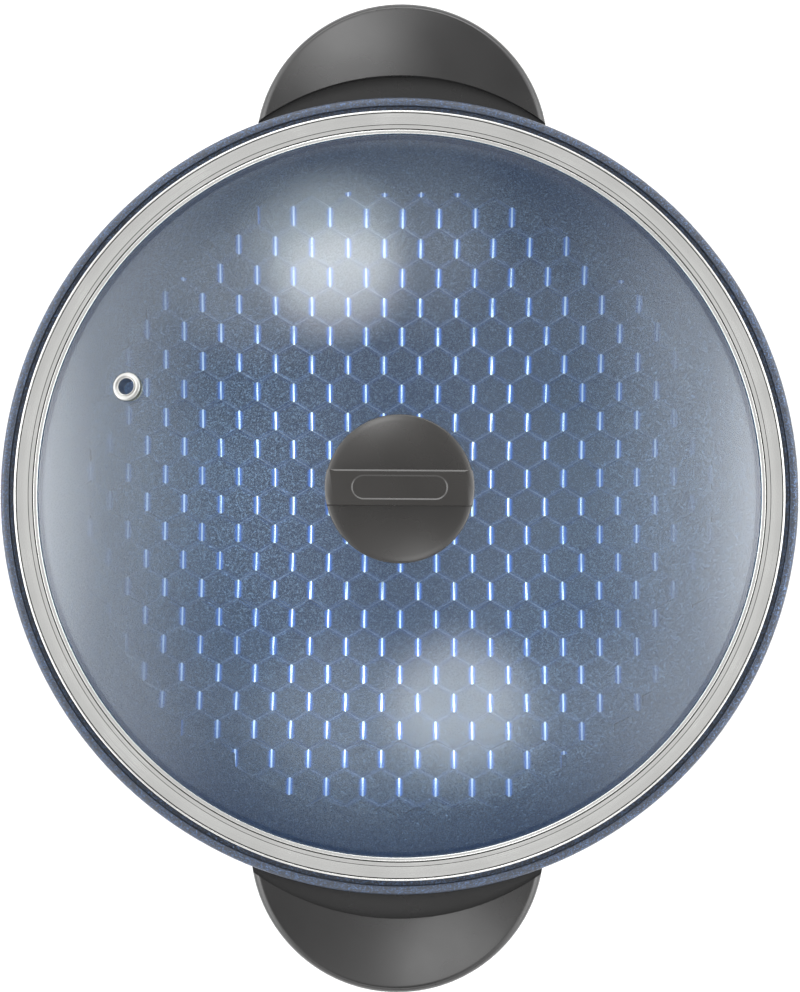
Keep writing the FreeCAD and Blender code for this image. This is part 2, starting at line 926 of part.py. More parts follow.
def make_handle(label, side):
    """Moulded handle: a crowned half disc, cut to the bowl, with a crescent recess beside the flange,
    a screw tongue under the lug and a ribbed hollow for the fingers. It is drawn about its own centre,
    with the bowl's axis at -Y."""
    handle = Piece(label)
    crown, edge = s.handle_crown, s.handle_edge
    crown_height = handle_top - crown
    edge_reach = s.handle_radius - edge
    edge_height = crown_height + rise_of(crown - edge, edge_reach)
    share = crown / (crown - edge)
    handle.spin(
        (0, handle_bottom),
        (s.handle_radius - s.handle_chamfer, handle_bottom),
        (s.handle_radius, handle_bottom + s.handle_chamfer),
        (s.handle_radius, edge_height),
        edge,
        (edge_reach * share, crown_height + (edge_height - crown_height) * share),
        crown,
        (0, handle_top),
    )
    centre = handle_centre
    beyond = s.handle_radius * 2
    shoulder = s.flange_radius - s.shoulder_inset - centre
    half_tongue = s.tongue_width / 2
    bowl_at_lug = rise_of(outer_curve, ball_height - lug_bottom) + s.tongue_gap
    tongue_end = rise_of(bowl_at_lug, half_tongue) - centre
    handle.pocket(
        "up",
        handle_bottom,
        handle_top,
        [
            (-beyond, shoulder),
            (-beyond, -beyond),
            (beyond, -beyond),
            (beyond, shoulder),
            (half_tongue, shoulder),
            (half_tongue, tongue_end),
            bowl_at_lug,
            (-half_tongue, tongue_end),
            (-half_tongue, shoulder),
        ],
    )
    recess_y = s.flange_radius + s.recess_width - s.recess_radius - centre
    handle.pocket("up", lug_bottom, handle_top, circle(0, recess_y, s.recess_radius))

    hollow = s.handle_radius - s.grip_margin
    far = s.recess_radius + s.handle_wall
    # where the hollow's outer edge meets the wall behind the recess
    meet_y = (far * far - hollow * hollow - recess_y * recess_y) / (recess_y * -2)
    meet_x = rise_of(hollow, meet_y)
    handle.pocket(
        "up",
        handle_bottom,
        grip_ceiling,
        [(meet_x, meet_y), hollow, (0, hollow), hollow, (-meet_x, meet_y), -far],
    )
    near = s.recess_radius - s.handle_wall
    ledge_y = handle_screw_reach - centre + s.screw_head * 2
    ledge_x = rise_of(near, ledge_y - recess_y)
    handle.pocket(
        "up",
        handle_bottom,
        lug_bottom - s.handle_wall,
        [(ledge_x, ledge_y), near, (-ledge_x, ledge_y)],
    )
    half_rib = s.grip_rib / 2
    rib_low = handle_bottom + s.handle_wall
    rib_x = s.grip_rib_spacing
    rib_start = rise_of(far, rib_x + half_rib) + recess_y - s.handle_wall / 2
    handle.pad(
        "up",
        rib_low,
        grip_ceiling,
        *[
            rectangle(x - half_rib, x + half_rib, rib_start, rise_of(hollow, rib_x))
            for x in (-rib_x, as_size(0), rib_x)
        ],
    )
    holes = [
        (x * s.handle_screw_spacing / 2, handle_screw_reach - centre) for x in SIDES
    ]
    handle.pocket("up", handle_bottom, lug_bottom, *[circle(*hole, screw_hole) for hole in holes])
    handle.pocket(
        "up",
        handle_bottom,
        handle_bottom + s.screw_head_height + s.screw_gap,
        *[circle(*hole, head_recess) for hole in holes],
    )
    place(handle.body, 0, side * centre, 0)
    if side < 0:
        handle.body.Placement.Rotation = FreeCAD.Rotation(FreeCAD.Vector(0, 0, 1), FULL_TURN / 2)
    return handle.body


def make_handle_screws():
    head_low = handle_bottom + s.screw_gap
    length = lug_bottom + s.screw_grip - head_low - s.screw_head_height * 2
    screws = []
    for y in SIDES:
        for x in SIDES:
            name = f"handle_screw_{len(screws) + 1}"
            spot = (x * s.handle_screw_spacing / 2, y * handle_screw_reach)
            sizes = (s.screw_head, s.screw_head_height, s.screw_radius, length)
            screws.append(screw(name, *spot, head_low, *sizes))
    return group("handle_screws", *screws)


def tilted_on_glass(item, rise=0):
    """Stands a piece on the dome at the vent, square to the glass and a rise above its face."""
    share = (dome_curve + rise) / dome_curve
    x, y = around(vent_reach * share, s.vent_bearing)
    place(item, x, y, dome_height + rise_of(dome_curve, vent_reach) * share)
    lean = math.degrees(math.asin(vent_reach.value / dome_curve.value))
    bearing = math.radians(s.vent_bearing.value)
    axis = FreeCAD.Vector(-math.sin(bearing), math.cos(bearing), 0)
    item.Placement.Rotation = FreeCAD.Rotation(axis, lean)
    return item


def make_glass():
    """Tempered dome with a flat edge, a hole for the knob's screw and one for the vent."""
    dome = Piece("glass_dome")
    dome.spin(
        (0, dome_height + inner_dome),
        -inner_dome,
        (rise_of(inner_dome, glass_seat - dome_height), glass_seat),
        (glass_radius, glass_seat),
        (glass_radius, glass_flat_top),
        (dome_reach, glass_flat_top),
        dome_curve,
        (0, dome_top),
    )
    deep = s.glass_wall * 2
    knob_hole = cylinder("knob_hole", s.knob_hole, deep, (0, 0, dome_top - deep + s.glass_wall / 2))
    vent_hole = cylinder("vent_hole", s.vent_bore + s.eyelet_wall, deep * 2, (0, 0, 0))
    tilted_on_glass(vent_hole, -deep)
    return less("lid_glass", dome.body, knob_hole, vent_hole)


def make_rim():
    """Rolled steel band round the glass: hem, step, crowned band, groove and outer roll."""
    rim = Piece("lid_rim")
    foot = glass_radius - s.rim_foot
    inner = dome_reach + s.rim_gap
    step = inner + s.rim_hem_width
    band = step + s.rim_groove
    band_end = band + s.rim_band
    hem_top = glass_flat_top + s.rim_hem
    band_low = hem_top + s.rim_hem / 2
    bend = s.rim_bend
    rim.spin(
        (foot, ledge_height),
        (lid_radius - bend, ledge_height),
        (lid_radius, ledge_height + bend),
        (lid_radius, hem_top - bend),
        (lid_radius - bend, hem_top),
        (band_end, glass_flat_top),
        (band_end, band_low),
        s.rim_crown,
        (band, band_low),
        (step, glass_flat_top + s.rim_hem / 3),
        (step, hem_top),
        (inner + s.rim_hem, hem_top),
        (inner, glass_flat_top),
        (glass_radius, glass_flat_top),
        (glass_radius, glass_seat),
        (foot, glass_seat),
    )
    return rim.body


def make_vent():
    """Eyelet riveted through the glass, with a soft gasket under its lower flange."""
    eyelet = Piece("vent_eyelet")
    tube = s.vent_bore + s.eyelet_wall
    under = -(s.glass_wall + s.gasket_height)
    eyelet.spin(
        (s.vent_bore, under - s.eyelet_sheet),
        (s.gasket_radius, under - s.eyelet_sheet),
        (s.gasket_radius, under),
        (tube, under),
        (tube, 0),
        (s.eyelet_flange, 0),
        (s.eyelet_flange - s.eyelet_sheet, s.eyelet_sheet),
        (s.vent_bore + s.eyelet_sheet, s.eyelet_sheet * 2),
        (s.vent_bore, s.eyelet_sheet),
    )
    tilted_on_glass(eyelet.body)
    gasket = Piece("vent_gasket")
    hollow = inner_dome - rise_of(inner_dome, s.gasket_radius)
    gasket.spin(
        (tube, under),
        (s.gasket_radius, under),
        (s.gasket_radius, -s.glass_wall - hollow),
        (tube, -s.glass_wall - hollow),
    )
    tilted_on_glass(gasket.body)
    return [eyelet.body, gasket.body]


def make_knob():
    """Knob: a crowned cap on a stem, with a bar across it, held by one screw through the glass."""
    seal_top = dome_top + s.seal_height
    collar_top = seal_top + s.collar_height
    underside = collar_top + s.cap_underside
    cap_edge_top = underside + s.cap_edge
    grip = Piece("knob_grip")
    grip.spin(
        (0, collar_top),
        (s.stem_radius, collar_top),
        (s.stem_radius, underside - s.cap_hollow),
        (s.stem_radius + s.cap_hollow, underside),
        (s.cap_radius - s.cap_hollow, underside),
        (s.cap_radius, underside + s.cap_hollow / 2),
        (s.cap_radius, cap_edge_top),
        s.cap_crown,
        (0, cap_edge_top + s.cap_crown - rise_of(s.cap_crown, s.cap_radius)),
    )
    bar_top, bar_end = dome_top + s.bar_height, dome_top + s.bar_end_height
    half_flat, half_bar = s.bar_flat / 2, s.bar_width / 2
    grip.pad(
        "along_y",
        -half_bar,
        half_bar,
        [
            (-s.cap_radius, underside + s.cap_hollow),
            (s.cap_radius, underside + s.cap_hollow),
            (s.cap_radius, bar_end),
            (half_flat, bar_top),
            (-half_flat, bar_top),
            (-s.cap_radius, bar_end),
        ],
    )
    beyond = s.cap_radius + s.cap_edge
    grip.spin(
        (s.cap_radius, underside),
        (beyond, underside),
        (beyond, bar_top),
        (s.cap_radius, bar_top),
        cut=True,
    )
    end = s.panel_width / 2
    straight = s.panel_length / 2 - end
    grip.pocket(
        "up",
        bar_top - s.panel_depth,
        bar_top,
        [
            (-straight, -end),
            (straight, -end),
            end,
            (straight + end, 0),
            end,
            (straight, end),
            (-straight, end),
            end,
            (-straight - end, 0),
            end,
        ],
    )
    grip.pocket("up", collar_top, collar_top + s.insert_height, circle(0, 0, s.insert_radius))

    collar = Piece("knob_collar")
    collar.spin(
        (s.insert_radius, seal_top),
        (s.collar_radius, seal_top),
        (s.collar_radius, seal_top + s.collar_height / 2),
        (s.collar_top_radius, collar_top),
        (s.insert_radius, collar_top),
    )
    insert = less(
        "knob_insert",
        cylinder("insert_blank", s.insert_radius, s.insert_height + s.collar_height, (0, 0, seal_top)),
        cylinder("insert_thread", s.knob_screw_radius, s.insert_height, (0, 0, seal_top)),
    )
    under_glass = dome_height + rise_of(inner_dome, s.lower_seal_radius)
    under = under_glass - s.seal_height
    seals = group(
        "knob_seals",
        less(
            "upper_seal",
            cylinder("upper_seal_blank", s.seal_radius, s.seal_height, (0, 0, dome_top)),
            cylinder("upper_seal_hole", s.knob_screw_radius, s.seal_height, (0, 0, dome_top)),
        ),
        less(
            "lower_seal",
            cylinder("lower_seal_blank", s.lower_seal_radius, s.seal_height, (0, 0, under)),
            cylinder("lower_seal_hole", s.knob_screw_radius, s.seal_height, (0, 0, under)),
        ),
    )
    washer = less(
        "knob_washer",
        cylinder("washer_blank", s.washer_radius, s.sheet, (0, 0, under - s.sheet)),
        cylinder("washer_hole", s.knob_screw_radius, s.sheet, (0, 0, under - s.sheet)),
    )
    head_low = under - s.sheet - s.screw_head_height
    length = seal_top + s.insert_height - head_low - s.screw_head_height
    head = s.screw_head + s.sheet
    sizes = (head, s.screw_head_height, s.knob_screw_radius, length)
    knob_screw = screw("knob_screw", 0, 0, head_low, *sizes)
    return [grip.body, collar.body, insert, seals, washer, knob_screw]


def housing_outline(inset):
    """The controller's outline in plan, with rounded corners, drawn inset by a wall."""
    half = s.controller_width / 2 - inset
    nose, tail = s.controller_nose_round - inset, s.controller_tail_round - inset
    start, end = controller_start + inset, controller_end - inset
    return [
        (start + nose, -half),
        (end - tail, -half),
        tail,
        (end, -half + tail),
        (end, half - tail),
        tail,
        (end - tail, half),
        (start + nose, half),
        nose,
        (start, half - nose),
        (start, -half + nose),
        nose,
    ]


def make_housing():
    """Two half shells, split at the probe's height, with screw posts inside."""
    split = s.ring_height
    wall = s.controller_wall
    none = as_size(0)
    screw_x = controller_start + s.housing_screw_setback
    spots = [(screw_x, y * s.housing_screw_spacing / 2) for y in SIDES]
    block_y, block_z = s.block_half_width, s.block_half_height
    window = rectangle(-block_y, block_y, split - block_z, split + block_z)
    gland_neck = circle(0, s.ring_height, s.gland_radius)
    trigger_half = s.trigger_width / 2 + s.trigger_side_gap

    lower = Piece("controller_lower")
    lower.pad("up", s.controller_low, split, housing_outline(none))
    slot_top = s.controller_low + s.trigger_slot_depth
    lower.pocket("up", slot_top + wall, split, housing_outline(wall))
    posts = [circle(*spot, s.housing_post_radius) for spot in spots]
    lower.pad("up", slot_top + wall / 2, split, *posts)
    slot_start = trigger_pivot - s.trigger_hub * 2
    lower.pocket(
        "up",
        s.controller_low,
        slot_top,
        rectangle(slot_start, controller_end, -trigger_half, trigger_half),
    )
    ear_half = s.trigger_hub
    for side in SIDES:
        near, far = side * trigger_half, side * (trigger_half + s.trigger_ear)
        low, high = (near, far) if side > 0 else (far, near)
        lower.pad(
            "along_y",
            low,
            high,
            rectangle(
                trigger_pivot - ear_half,
                trigger_pivot + ear_half,
                s.trigger_pivot_height - ear_half,
                s.controller_low + wall,
            ),
        )
    ear = trigger_half + s.trigger_ear
    pin_hole = circle(trigger_pivot, s.trigger_pivot_height, s.trigger_pin_radius)
    lower.pocket("along_y", -ear, ear, pin_hole)
    lower.pocket("along_x", controller_start, controller_start + s.controller_nose_round, window)
    lower.pocket("along_x", controller_end - wall, controller_end, gland_neck)
    lower.pocket(
        "up",
        s.controller_low,
        split,
        *[circle(*spot, s.housing_screw_radius) for spot in spots],
    )
    lower.pocket(
        "up",
        s.controller_low,
        s.controller_low + s.housing_screw_head_height,
        *[circle(*spot, s.housing_screw_head + s.screw_gap) for spot in spots],
    )

    upper = Piece("controller_upper")
    bevel = s.controller_bevel
    upper.pad("up", split, s.controller_high - bevel, housing_outline(none))
    upper.pad("up", s.controller_high - bevel, s.controller_high, housing_outline(bevel / 2))
    upper.pocket("up", split, s.controller_high - wall, housing_outline(wall))
    upper.pad("up", split, s.controller_high - wall / 2, *posts)
    screw_top = s.controller_low + s.housing_screw_head_height + s.housing_screw_length
    screw_holes = [circle(*spot, s.housing_screw_radius) for spot in spots]
    upper.pocket("up", split, screw_top, *screw_holes)
    upper.pocket("along_x", controller_start, controller_start + s.controller_nose_round, window)
    upper.pocket("along_x", controller_end - wall, controller_end, gland_neck)
    upper.pocket(
        "up",
        s.controller_high - wall,
        s.controller_high,
        circle(dial_place, 0, s.spindle_radius + s.running_gap),
        circle(lens_place, 0, s.lens_radius),
    )
    screws = [
        screw(
            f"controller_screw_{i + 1}",
            *spot,
            s.controller_low,
            s.housing_screw_head,
            s.housing_screw_head_height,
            s.housing_screw_radius,
            s.housing_screw_length,
        )
        for i, spot in enumerate(spots)
    ]
    return [lower.body, upper.body, group("controller_screws", *screws)]


def make_contacts():
    """Block that plugs into the inlet, its sleeves and earth leaf, and the probe that it carries."""
    centre = s.ring_height
    sleeve = s.pin_radius + s.sleeve_gap
    socket = sleeve + s.sleeve_wall
    half_y, half_z = s.block_half_width, s.block_half_height
    block = Piece("contact_block")
    outline = rectangle(-half_y, half_y, centre - half_z, centre + half_z)
    block.pad("along_x", block_face, block_back, outline)
    block.pocket(
        "along_x",
        block_face,
        block_face + s.socket_depth,
        circle(-s.leg_offset, centre, socket),
        circle(s.leg_offset, centre, socket),
    )
    block.pocket("along_x", block_face, block_back, circle(0, centre, s.probe_radius))
    sleeves = []
    for side, name in zip(SIDES, ("right", "left")):
        mouth = (block_face, side * s.leg_offset, centre)
        blank = cylinder(f"sleeve_{name}_blank", socket, s.socket_depth, mouth, TO_X)
        bore = cylinder(f"sleeve_{name}_bore", sleeve, s.socket_depth, mouth, TO_X)
        sleeves.append(less(f"contact_sleeve_{name}", blank, bore))
    point = s.probe_radius / 2
    start = s.probe_tip + point
    probe = joined(
        "sensor_tube",
        cylinder("probe_tube", s.probe_radius, block_back - start, (start, 0, centre), TO_X),
        cone("probe_point", point, s.probe_radius, point, (s.probe_tip, 0, centre), TO_X),
    )
    leaf = Piece("earth_spring")
    leaf_top = centre - half_z
    leaf_low = s.inlet_low + s.inlet_wall + s.strap_sheet + s.probe_gap
    middle = (block_face + controller_start) / 2
    leaf.pad(
        "along_y",
        -s.leaf_width / 2,
        s.leaf_width / 2,
        [
            (block_face, leaf_top),
            (block_face, leaf_top - s.leaf_sheet),
            (middle, leaf_low),
            (controller_start, leaf_top - s.leaf_sheet),
            (controller_start, leaf_top),
            (middle, leaf_low + s.leaf_sheet),
        ],
    )
    return [block.body, group("contact_sleeves", *sleeves), probe, leaf.body]


def make_thermostat():
    """Frame behind the contact block and two switch blades that the spindle presses."""
    half = s.frame_width / 2
    floor = s.controller_low + s.trigger_slot_depth + s.controller_wall
    top = s.ring_height + s.block_half_height
    back = block_back + s.sheet
    frame_end = block_back + s.frame_length
    frame = joined(
        "thermostat_frame",
        box("frame_floor", (block_back, -half, floor), (frame_end, half, floor + s.sheet)),
        box("frame_back", (block_back, -half, floor), (back, half, top)),
    )
    half_blade = s.blade_width / 2
    blade_z = s.spindle_foot - s.blade_sheet
    blades = [
        box(
            f"switch_blade_{name}",
            (back, side * s.blade_spacing / 2 - half_blade, blade_z),
            (dial_place, side * s.blade_spacing / 2 + half_blade, blade_z + s.blade_sheet),
        )
        for side, name in zip(SIDES, ("right", "left"))
    ]
    return [frame, group("switch_blades", *blades)]


def make_lamp():
    top = s.controller_high - s.controller_wall
    lens = joined(
        "indicator_lens",
        cylinder("lens_body", s.lens_radius, s.controller_wall, (lens_place, 0, top)),
        cone(
            "lens_dome",
            s.lens_radius,
            s.lens_radius - s.lens_rise,
            s.lens_rise,
            (lens_place, 0, s.controller_high),
        ),
    )
    foot = (lens_place, 0, top - s.lamp_height)
    lamp = cylinder("indicator_lamp", s.lamp_radius, s.lamp_height, foot)
    lamp.Label = "indicator_lamp"
    return [lens, lamp]


def make_gland():
    """Rubber gland gripped by the housing's back wall, with the supply cord's bore."""
    back = controller_end
    inner = back - s.controller_wall
    gland = Piece("cord_gland")
    start, end = inner - s.gland_inside, back + s.gland_outside
    gland.pad("along_x", start, end, circle(0, s.ring_height, s.gland_radius))
    flange = circle(0, s.ring_height, s.gland_flange)
    gland.pad("along_x", inner - s.gland_flange_width, inner, flange)
    gland.pad("along_x", back, back + s.gland_flange_width, flange)
    gland.pocket("along_x", start, end, circle(0, s.ring_height, s.gland_bore))
    return gland.body


def make_dial():
    """Dial with a grip bar across it, on a spindle that runs down into the housing."""
    low = s.controller_high + s.dial_gap
    top = low + s.dial_height - s.dial_grip_height
    bevel = s.dial_bevel
    dial = Piece("temperature_dial")
    dial.spin(
        (0, low),
        (s.dial_radius - bevel, low),
        (s.dial_radius, low + bevel),
        (s.dial_radius, top - bevel),
        (s.dial_radius - bevel, top),
        (0, top),
    )
    half = s.dial_grip_width / 2
    reach = s.dial_radius - bevel * 2
    dial.pad(
        "up",
        top - bevel,
        low + s.dial_height,
        [(-reach, -half), (reach - half, -half), (reach, 0), (reach - half, half), (-reach, half)],
    )
    socket = s.dial_height / 2
    dial.pocket("up", low, low + socket, circle(0, 0, s.spindle_radius))
    place(dial.body, dial_place, 0, 0)
    spindle = cylinder(
        "dial_spindle", s.spindle_radius, low + socket - s.spindle_foot, (dial_place, 0, s.spindle_foot)
    )
    spindle.Label = "dial_spindle"
    return [dial.body, spindle]


def make_trigger():
    """Release lever under the housing, its pin, and the spring between the lever's two hubs."""
    x, z = trigger_pivot, s.trigger_pivot_height
    end = controller_end - s.trigger_inset
    half = s.trigger_width / 2
    half_spring = s.spring_width / 2
    hub = s.trigger_hub
    lever = Piece("trigger_lever")
    top = s.controller_low - s.trigger_side_gap
    lever.pad(
        "along_y",
        -half,
        half,
        [
            (x + hub, z),
            hub,
            (x, z + hub),
            hub,
            (x - hub, z),
            hub,
            (x, z - hub),
            (end - s.trigger_thickness, s.trigger_bottom),
            s.trigger_thickness,
            (end, s.trigger_bottom + s.trigger_thickness),
            (end - s.trigger_thickness / 2, s.trigger_bottom + s.trigger_lip),
            (x + hub * 2, top - s.trigger_thickness / 2),
        ],
    )
    gap = s.spring_radius + s.trigger_side_gap
    lever.pocket(
        "along_y",
        -half_spring - s.trigger_side_gap,
        half_spring + s.trigger_side_gap,
        rectangle(x - hub * 2, x + gap, z - gap, z + gap * 2),
    )
    lever.pocket("along_y", -half, half, circle(x, z, s.trigger_pin_radius + s.running_gap))
    reach = half + s.trigger_side_gap + s.trigger_ear
    pin = cylinder("trigger_pin", s.trigger_pin_radius, reach * 2, (x, reach, z), (0, -1, 0))
    pin.Label = "trigger_pin"
    spring = less(
        "trigger_spring",
        cylinder("spring_blank", s.spring_radius, s.spring_width, (x, half_spring, z), (0, -1, 0)),
        cylinder("spring_bore", s.trigger_pin_radius, s.spring_width, (x, half_spring, z), (0, -1, 0)),
    )
    return [lever.body, pin, spring]


def make_all():
    return [
        make_bowl(),
        *make_element(),
        make_base(),
        make_feet(),
        make_base_screws(),
        make_heat_shield(),
        *make_inlet(),
        make_handle("rear_handle", 1),
        make_handle("front_handle", -1),
        make_handle_screws(),
        make_glass(),
        make_rim(),
        *make_vent(),
        *make_knob(),
        *make_housing(),
        *make_contacts(),
        *make_thermostat(),
        *make_lamp(),
        make_gland(),
        *make_dial(),
        *make_trigger(),
    ]


def check(pieces):
    """Stops before anything is written if a feature failed, cut nothing or left a bad shape."""
    for item in doc.Objects:
        if "Invalid" in item.State or "Error" in item.State:
            raise SystemExit(f"{item.Label} failed: {item.State}")
        base = getattr(item, "BaseFeature", None)
        cuts = any(word in item.TypeId for word in ("Pocket", "Groove", "Subtractive"))
        before = base if cuts else getattr(item, "Base", None) if item.TypeId == "Part::Cut" else None
        if before and item.Shape.Volume > before.Shape.Volume - LEAST_CUT:
            raise SystemExit(f"{item.Label} cuts nothing")
    for piece in pieces:
        if piece.Shape.isNull() or not piece.Shape.isValid() or not piece.Shape.Solids:
            raise SystemExit(f"{piece.Label} has no valid solid")


nodes = make_all()
doc.recompute()
check(nodes)
os.makedirs("parts", exist_ok=True)
for node in nodes:
    node.Shape.exportStep(os.path.join("parts", f"{node.Label}.step"))
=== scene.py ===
import logging
import math
from dataclasses import dataclass, field, replace
from enum import Enum
from functools import lru_cache
from typing import Any, Sequence

import bpy
from mathutils import Matrix, Vector


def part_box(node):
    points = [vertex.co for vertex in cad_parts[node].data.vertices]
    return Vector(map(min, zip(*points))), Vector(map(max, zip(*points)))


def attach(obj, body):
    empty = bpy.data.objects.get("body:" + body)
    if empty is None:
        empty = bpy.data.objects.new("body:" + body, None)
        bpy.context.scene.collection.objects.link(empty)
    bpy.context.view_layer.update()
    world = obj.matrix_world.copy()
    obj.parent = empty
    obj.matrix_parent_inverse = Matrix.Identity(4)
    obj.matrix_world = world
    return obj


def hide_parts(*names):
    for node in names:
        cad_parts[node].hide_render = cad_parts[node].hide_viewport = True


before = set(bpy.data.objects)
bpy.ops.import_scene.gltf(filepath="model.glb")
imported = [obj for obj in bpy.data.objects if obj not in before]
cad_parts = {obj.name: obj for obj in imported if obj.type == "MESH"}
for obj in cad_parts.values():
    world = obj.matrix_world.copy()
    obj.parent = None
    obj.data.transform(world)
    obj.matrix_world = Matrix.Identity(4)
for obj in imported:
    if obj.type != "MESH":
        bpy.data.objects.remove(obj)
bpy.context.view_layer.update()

logging.basicConfig(level=logging.INFO, format="%(message)s")
log = logging.getLogger("wok")

MM = 0.001
FULL_TURN = 2 * math.pi
# how near two points lie that are one point, in metres
SAME_PLACE = 5e-6
# how far two faces turn that are still one flat face, in degrees
SAME_FACE = 0.4
# how many sides a round rod has
ROD_SIDES = 48
# the span that most of a noise's values lie in
NOISE_SPAN = (0.3, 0.7)
WHITE = "#FFFFFF"
# what makes a range leave both its ends gently
SOFT = {"interpolation_type": "SMOOTHSTEP"}
Point = tuple[float, float]
Colour = tuple[float, float, float, float]
Piece = bpy.types.Object
Socket = bpy.types.NodeSocket
Tree = bpy.types.NodeTree


class Join(Enum):
    """What a boolean does with its tool."""

    CUT = "DIFFERENCE"
    UNITE = "UNION"
    KEEP = "INTERSECT"


class Way(Enum):
    """The way a slab grows from its outline."""

    UP = "up"
    ALONG_X = "along_x"
    ALONG_Y = "along_y"


class Side(Enum):
    """Where a handle sits on the bowl."""

    REAR = 1
    FRONT = -1


def linear(code: str) -> Colour:
    """Turns an sRGB hex value into the linear colour that a shader takes."""
    parts = [int(code[i : i + 2], 16) / 255 for i in (1, 3, 5)]
    red, green, blue = (p / 12.92 if p <= 0.04045 else ((p + 0.055) / 1.055) ** 2.4 for p in parts)
    return red, green, blue, 1.0


def arc(centre: Point, radius: float, start: float, end: float, steps: int) -> list[Point]:
    """Points along an arc, both ends included.

    Args:
        centre: its middle.
        radius: its radius.
        start: the angle of its first point in degrees, anticlockwise from the first axis.
        end: the angle of its last point.
        steps: how many edges it is drawn with.

    Returns:
        The points in order.
    """
    angles = [math.radians(start + (end - start) * i / steps) for i in range(steps + 1)]
    return [(centre[0] + radius * math.cos(a), centre[1] + radius * math.sin(a)) for a in angles]


def crown(middle: float, radius: float, first: float, last: float, steps: int) -> list[Point]:
    """Points on a ball's upper line, or on its lower one where the radius is negative.

    Args:
        middle: the height of the ball's centre.
        radius: the ball's radius.
        first: the reach of the first point from the axis.
        last: the reach of the last point.
        steps: how many edges it is drawn with.

    Returns:
        Pairs of reach and height.
    """
    reaches = [first + (last - first) * i / steps for i in range(steps + 1)]
    return [(r, middle + math.copysign(math.sqrt(radius * radius - r * r), radius)) for r in reaches]


def deselect() -> None:
    """Leaves object mode with nothing selected."""
    if bpy.context.mode != "OBJECT":
        bpy.ops.object.mode_set(mode="OBJECT")
    bpy.ops.object.select_all(action="DESELECT")


def pick(*pieces: Piece) -> None:
    """Selects these pieces alone and makes the first the active one."""
    deselect()
    for piece in pieces:
        piece.select_set(True)
    bpy.context.view_layer.objects.active = pieces[0]


def seat(piece: Piece) -> Piece:
    """Moves a piece's place, turn and scale into its mesh."""
    pick(piece)
    bpy.ops.object.transform_apply(location=True, rotation=True, scale=True)
    return piece


def pen(name: str, points: Sequence[Vector]) -> Piece:
    """Draws a chain of edges: a small plane is merged to a point and extruded from place to place.

    Args:
        name: the piece's name.
        points: the places in millimetres.

    Returns:
        The piece, in edit mode with all of it selected.
    """
    deselect()
    bpy.ops.mesh.primitive_plane_add(size=MM, location=points[0] * MM)
    piece = bpy.context.object
    piece.name = name
    bpy.ops.object.transform_apply(location=True)
    bpy.ops.object.mode_set(mode="EDIT")
    bpy.ops.mesh.select_mode(type="VERT")
    bpy.ops.mesh.select_all(action="SELECT")
    bpy.ops.mesh.merge(type="CENTER")
    for start, end in zip(points, points[1:]):
        bpy.ops.mesh.extrude_region_move(TRANSFORM_OT_translate={"value": (end - start) * MM})
    bpy.ops.mesh.select_all(action="SELECT")
    return piece


def close_up() -> None:
    """Merges what lies in one place, turns all faces outwards and leaves edit mode."""
    bpy.ops.mesh.select_all(action="SELECT")
    bpy.ops.mesh.remove_doubles(threshold=SAME_PLACE)
    bpy.ops.mesh.normals_make_consistent(inside=False)
    bpy.ops.object.mode_set(mode="OBJECT")


def lathe(name: str, profile: Sequence[Point], steps: int = 128) -> Piece:
    """Turns a profile about the upright axis.

    Args:
        name: the piece's name.
        profile: pairs of reach from the axis and height, in millimetres.
        steps: how many faces go round.

    Returns:
        The turned piece.
    """
    piece = pen(name, [Vector((reach, 0.0, height)) for reach, height in profile])
    bpy.ops.mesh.spin(steps=steps, angle=FULL_TURN, center=(0, 0, 0), axis=(0, 0, 1))
    close_up()
    return piece


def slab(name: str, outline: Sequence[Point], low: float, high: float, way: Way = Way.UP) -> Piece:
    """Fills an outline and extrudes it.

    Args:
        name: the piece's name.
        outline: its corners in millimetres: in plan, or on the plane that the slab stands square to.
        low: where it starts along its way.
        high: where it ends.
        way: the way it grows.

    Returns:
        The slab.
    """
    grow = high - low
    if way is Way.UP:
        points, rise = [Vector((x, y, low)) for x, y in outline], Vector((0, 0, grow))
    elif way is Way.ALONG_X:
        points, rise = [Vector((low, y, z)) for y, z in outline], Vector((grow, 0, 0))
    else:
        points, rise = [Vector((x, low, z)) for x, z in outline], Vector((0, grow, 0))
    piece = pen(name, [*points, points[0]])
    bpy.ops.mesh.remove_doubles(threshold=SAME_PLACE)
    bpy.ops.mesh.edge_face_add()
    bpy.ops.mesh.extrude_region_move(TRANSFORM_OT_translate={"value": rise * MM})
    close_up()
    return piece


def rod(name: str, start: Vector, end: Vector, radius: float, top: float | None = None) -> Piece:
    """A round rod or cone between two places in millimetres, made from a cone primitive.

    Args:
        name: the piece's name.
        start: the middle of its foot.
        end: the middle of its top.
        radius: the radius at its foot.
        top: the radius at its top, where it differs.

    Returns:
        The rod.
    """
    deselect()
    way = end - start
    bpy.ops.mesh.primitive_cone_add(
        vertices=ROD_SIDES,
        radius1=radius * MM,
        radius2=(radius if top is None else top) * MM,
        depth=way.length * MM,
        location=(start + end) / 2 * MM,
        rotation=way.to_track_quat("Z", "Y").to_euler(),
    )
    piece = bpy.context.object
    piece.name = name
    return seat(piece)


def apply(piece: Piece, modifier: bpy.types.Modifier) -> None:
    """Applies a modifier to its piece."""
    pick(piece)
    bpy.ops.object.modifier_apply(modifier=modifier.name)


def combine(piece: Piece, tool: Piece, how: Join) -> None:
    """Cuts, unites or crosses a piece with a tool, which is used up."""
    boolean = piece.modifiers.new("boolean", "BOOLEAN")
    boolean.operation, boolean.solver, boolean.object = how.value, "EXACT", tool
    apply(piece, boolean)
    bpy.data.objects.remove(tool)


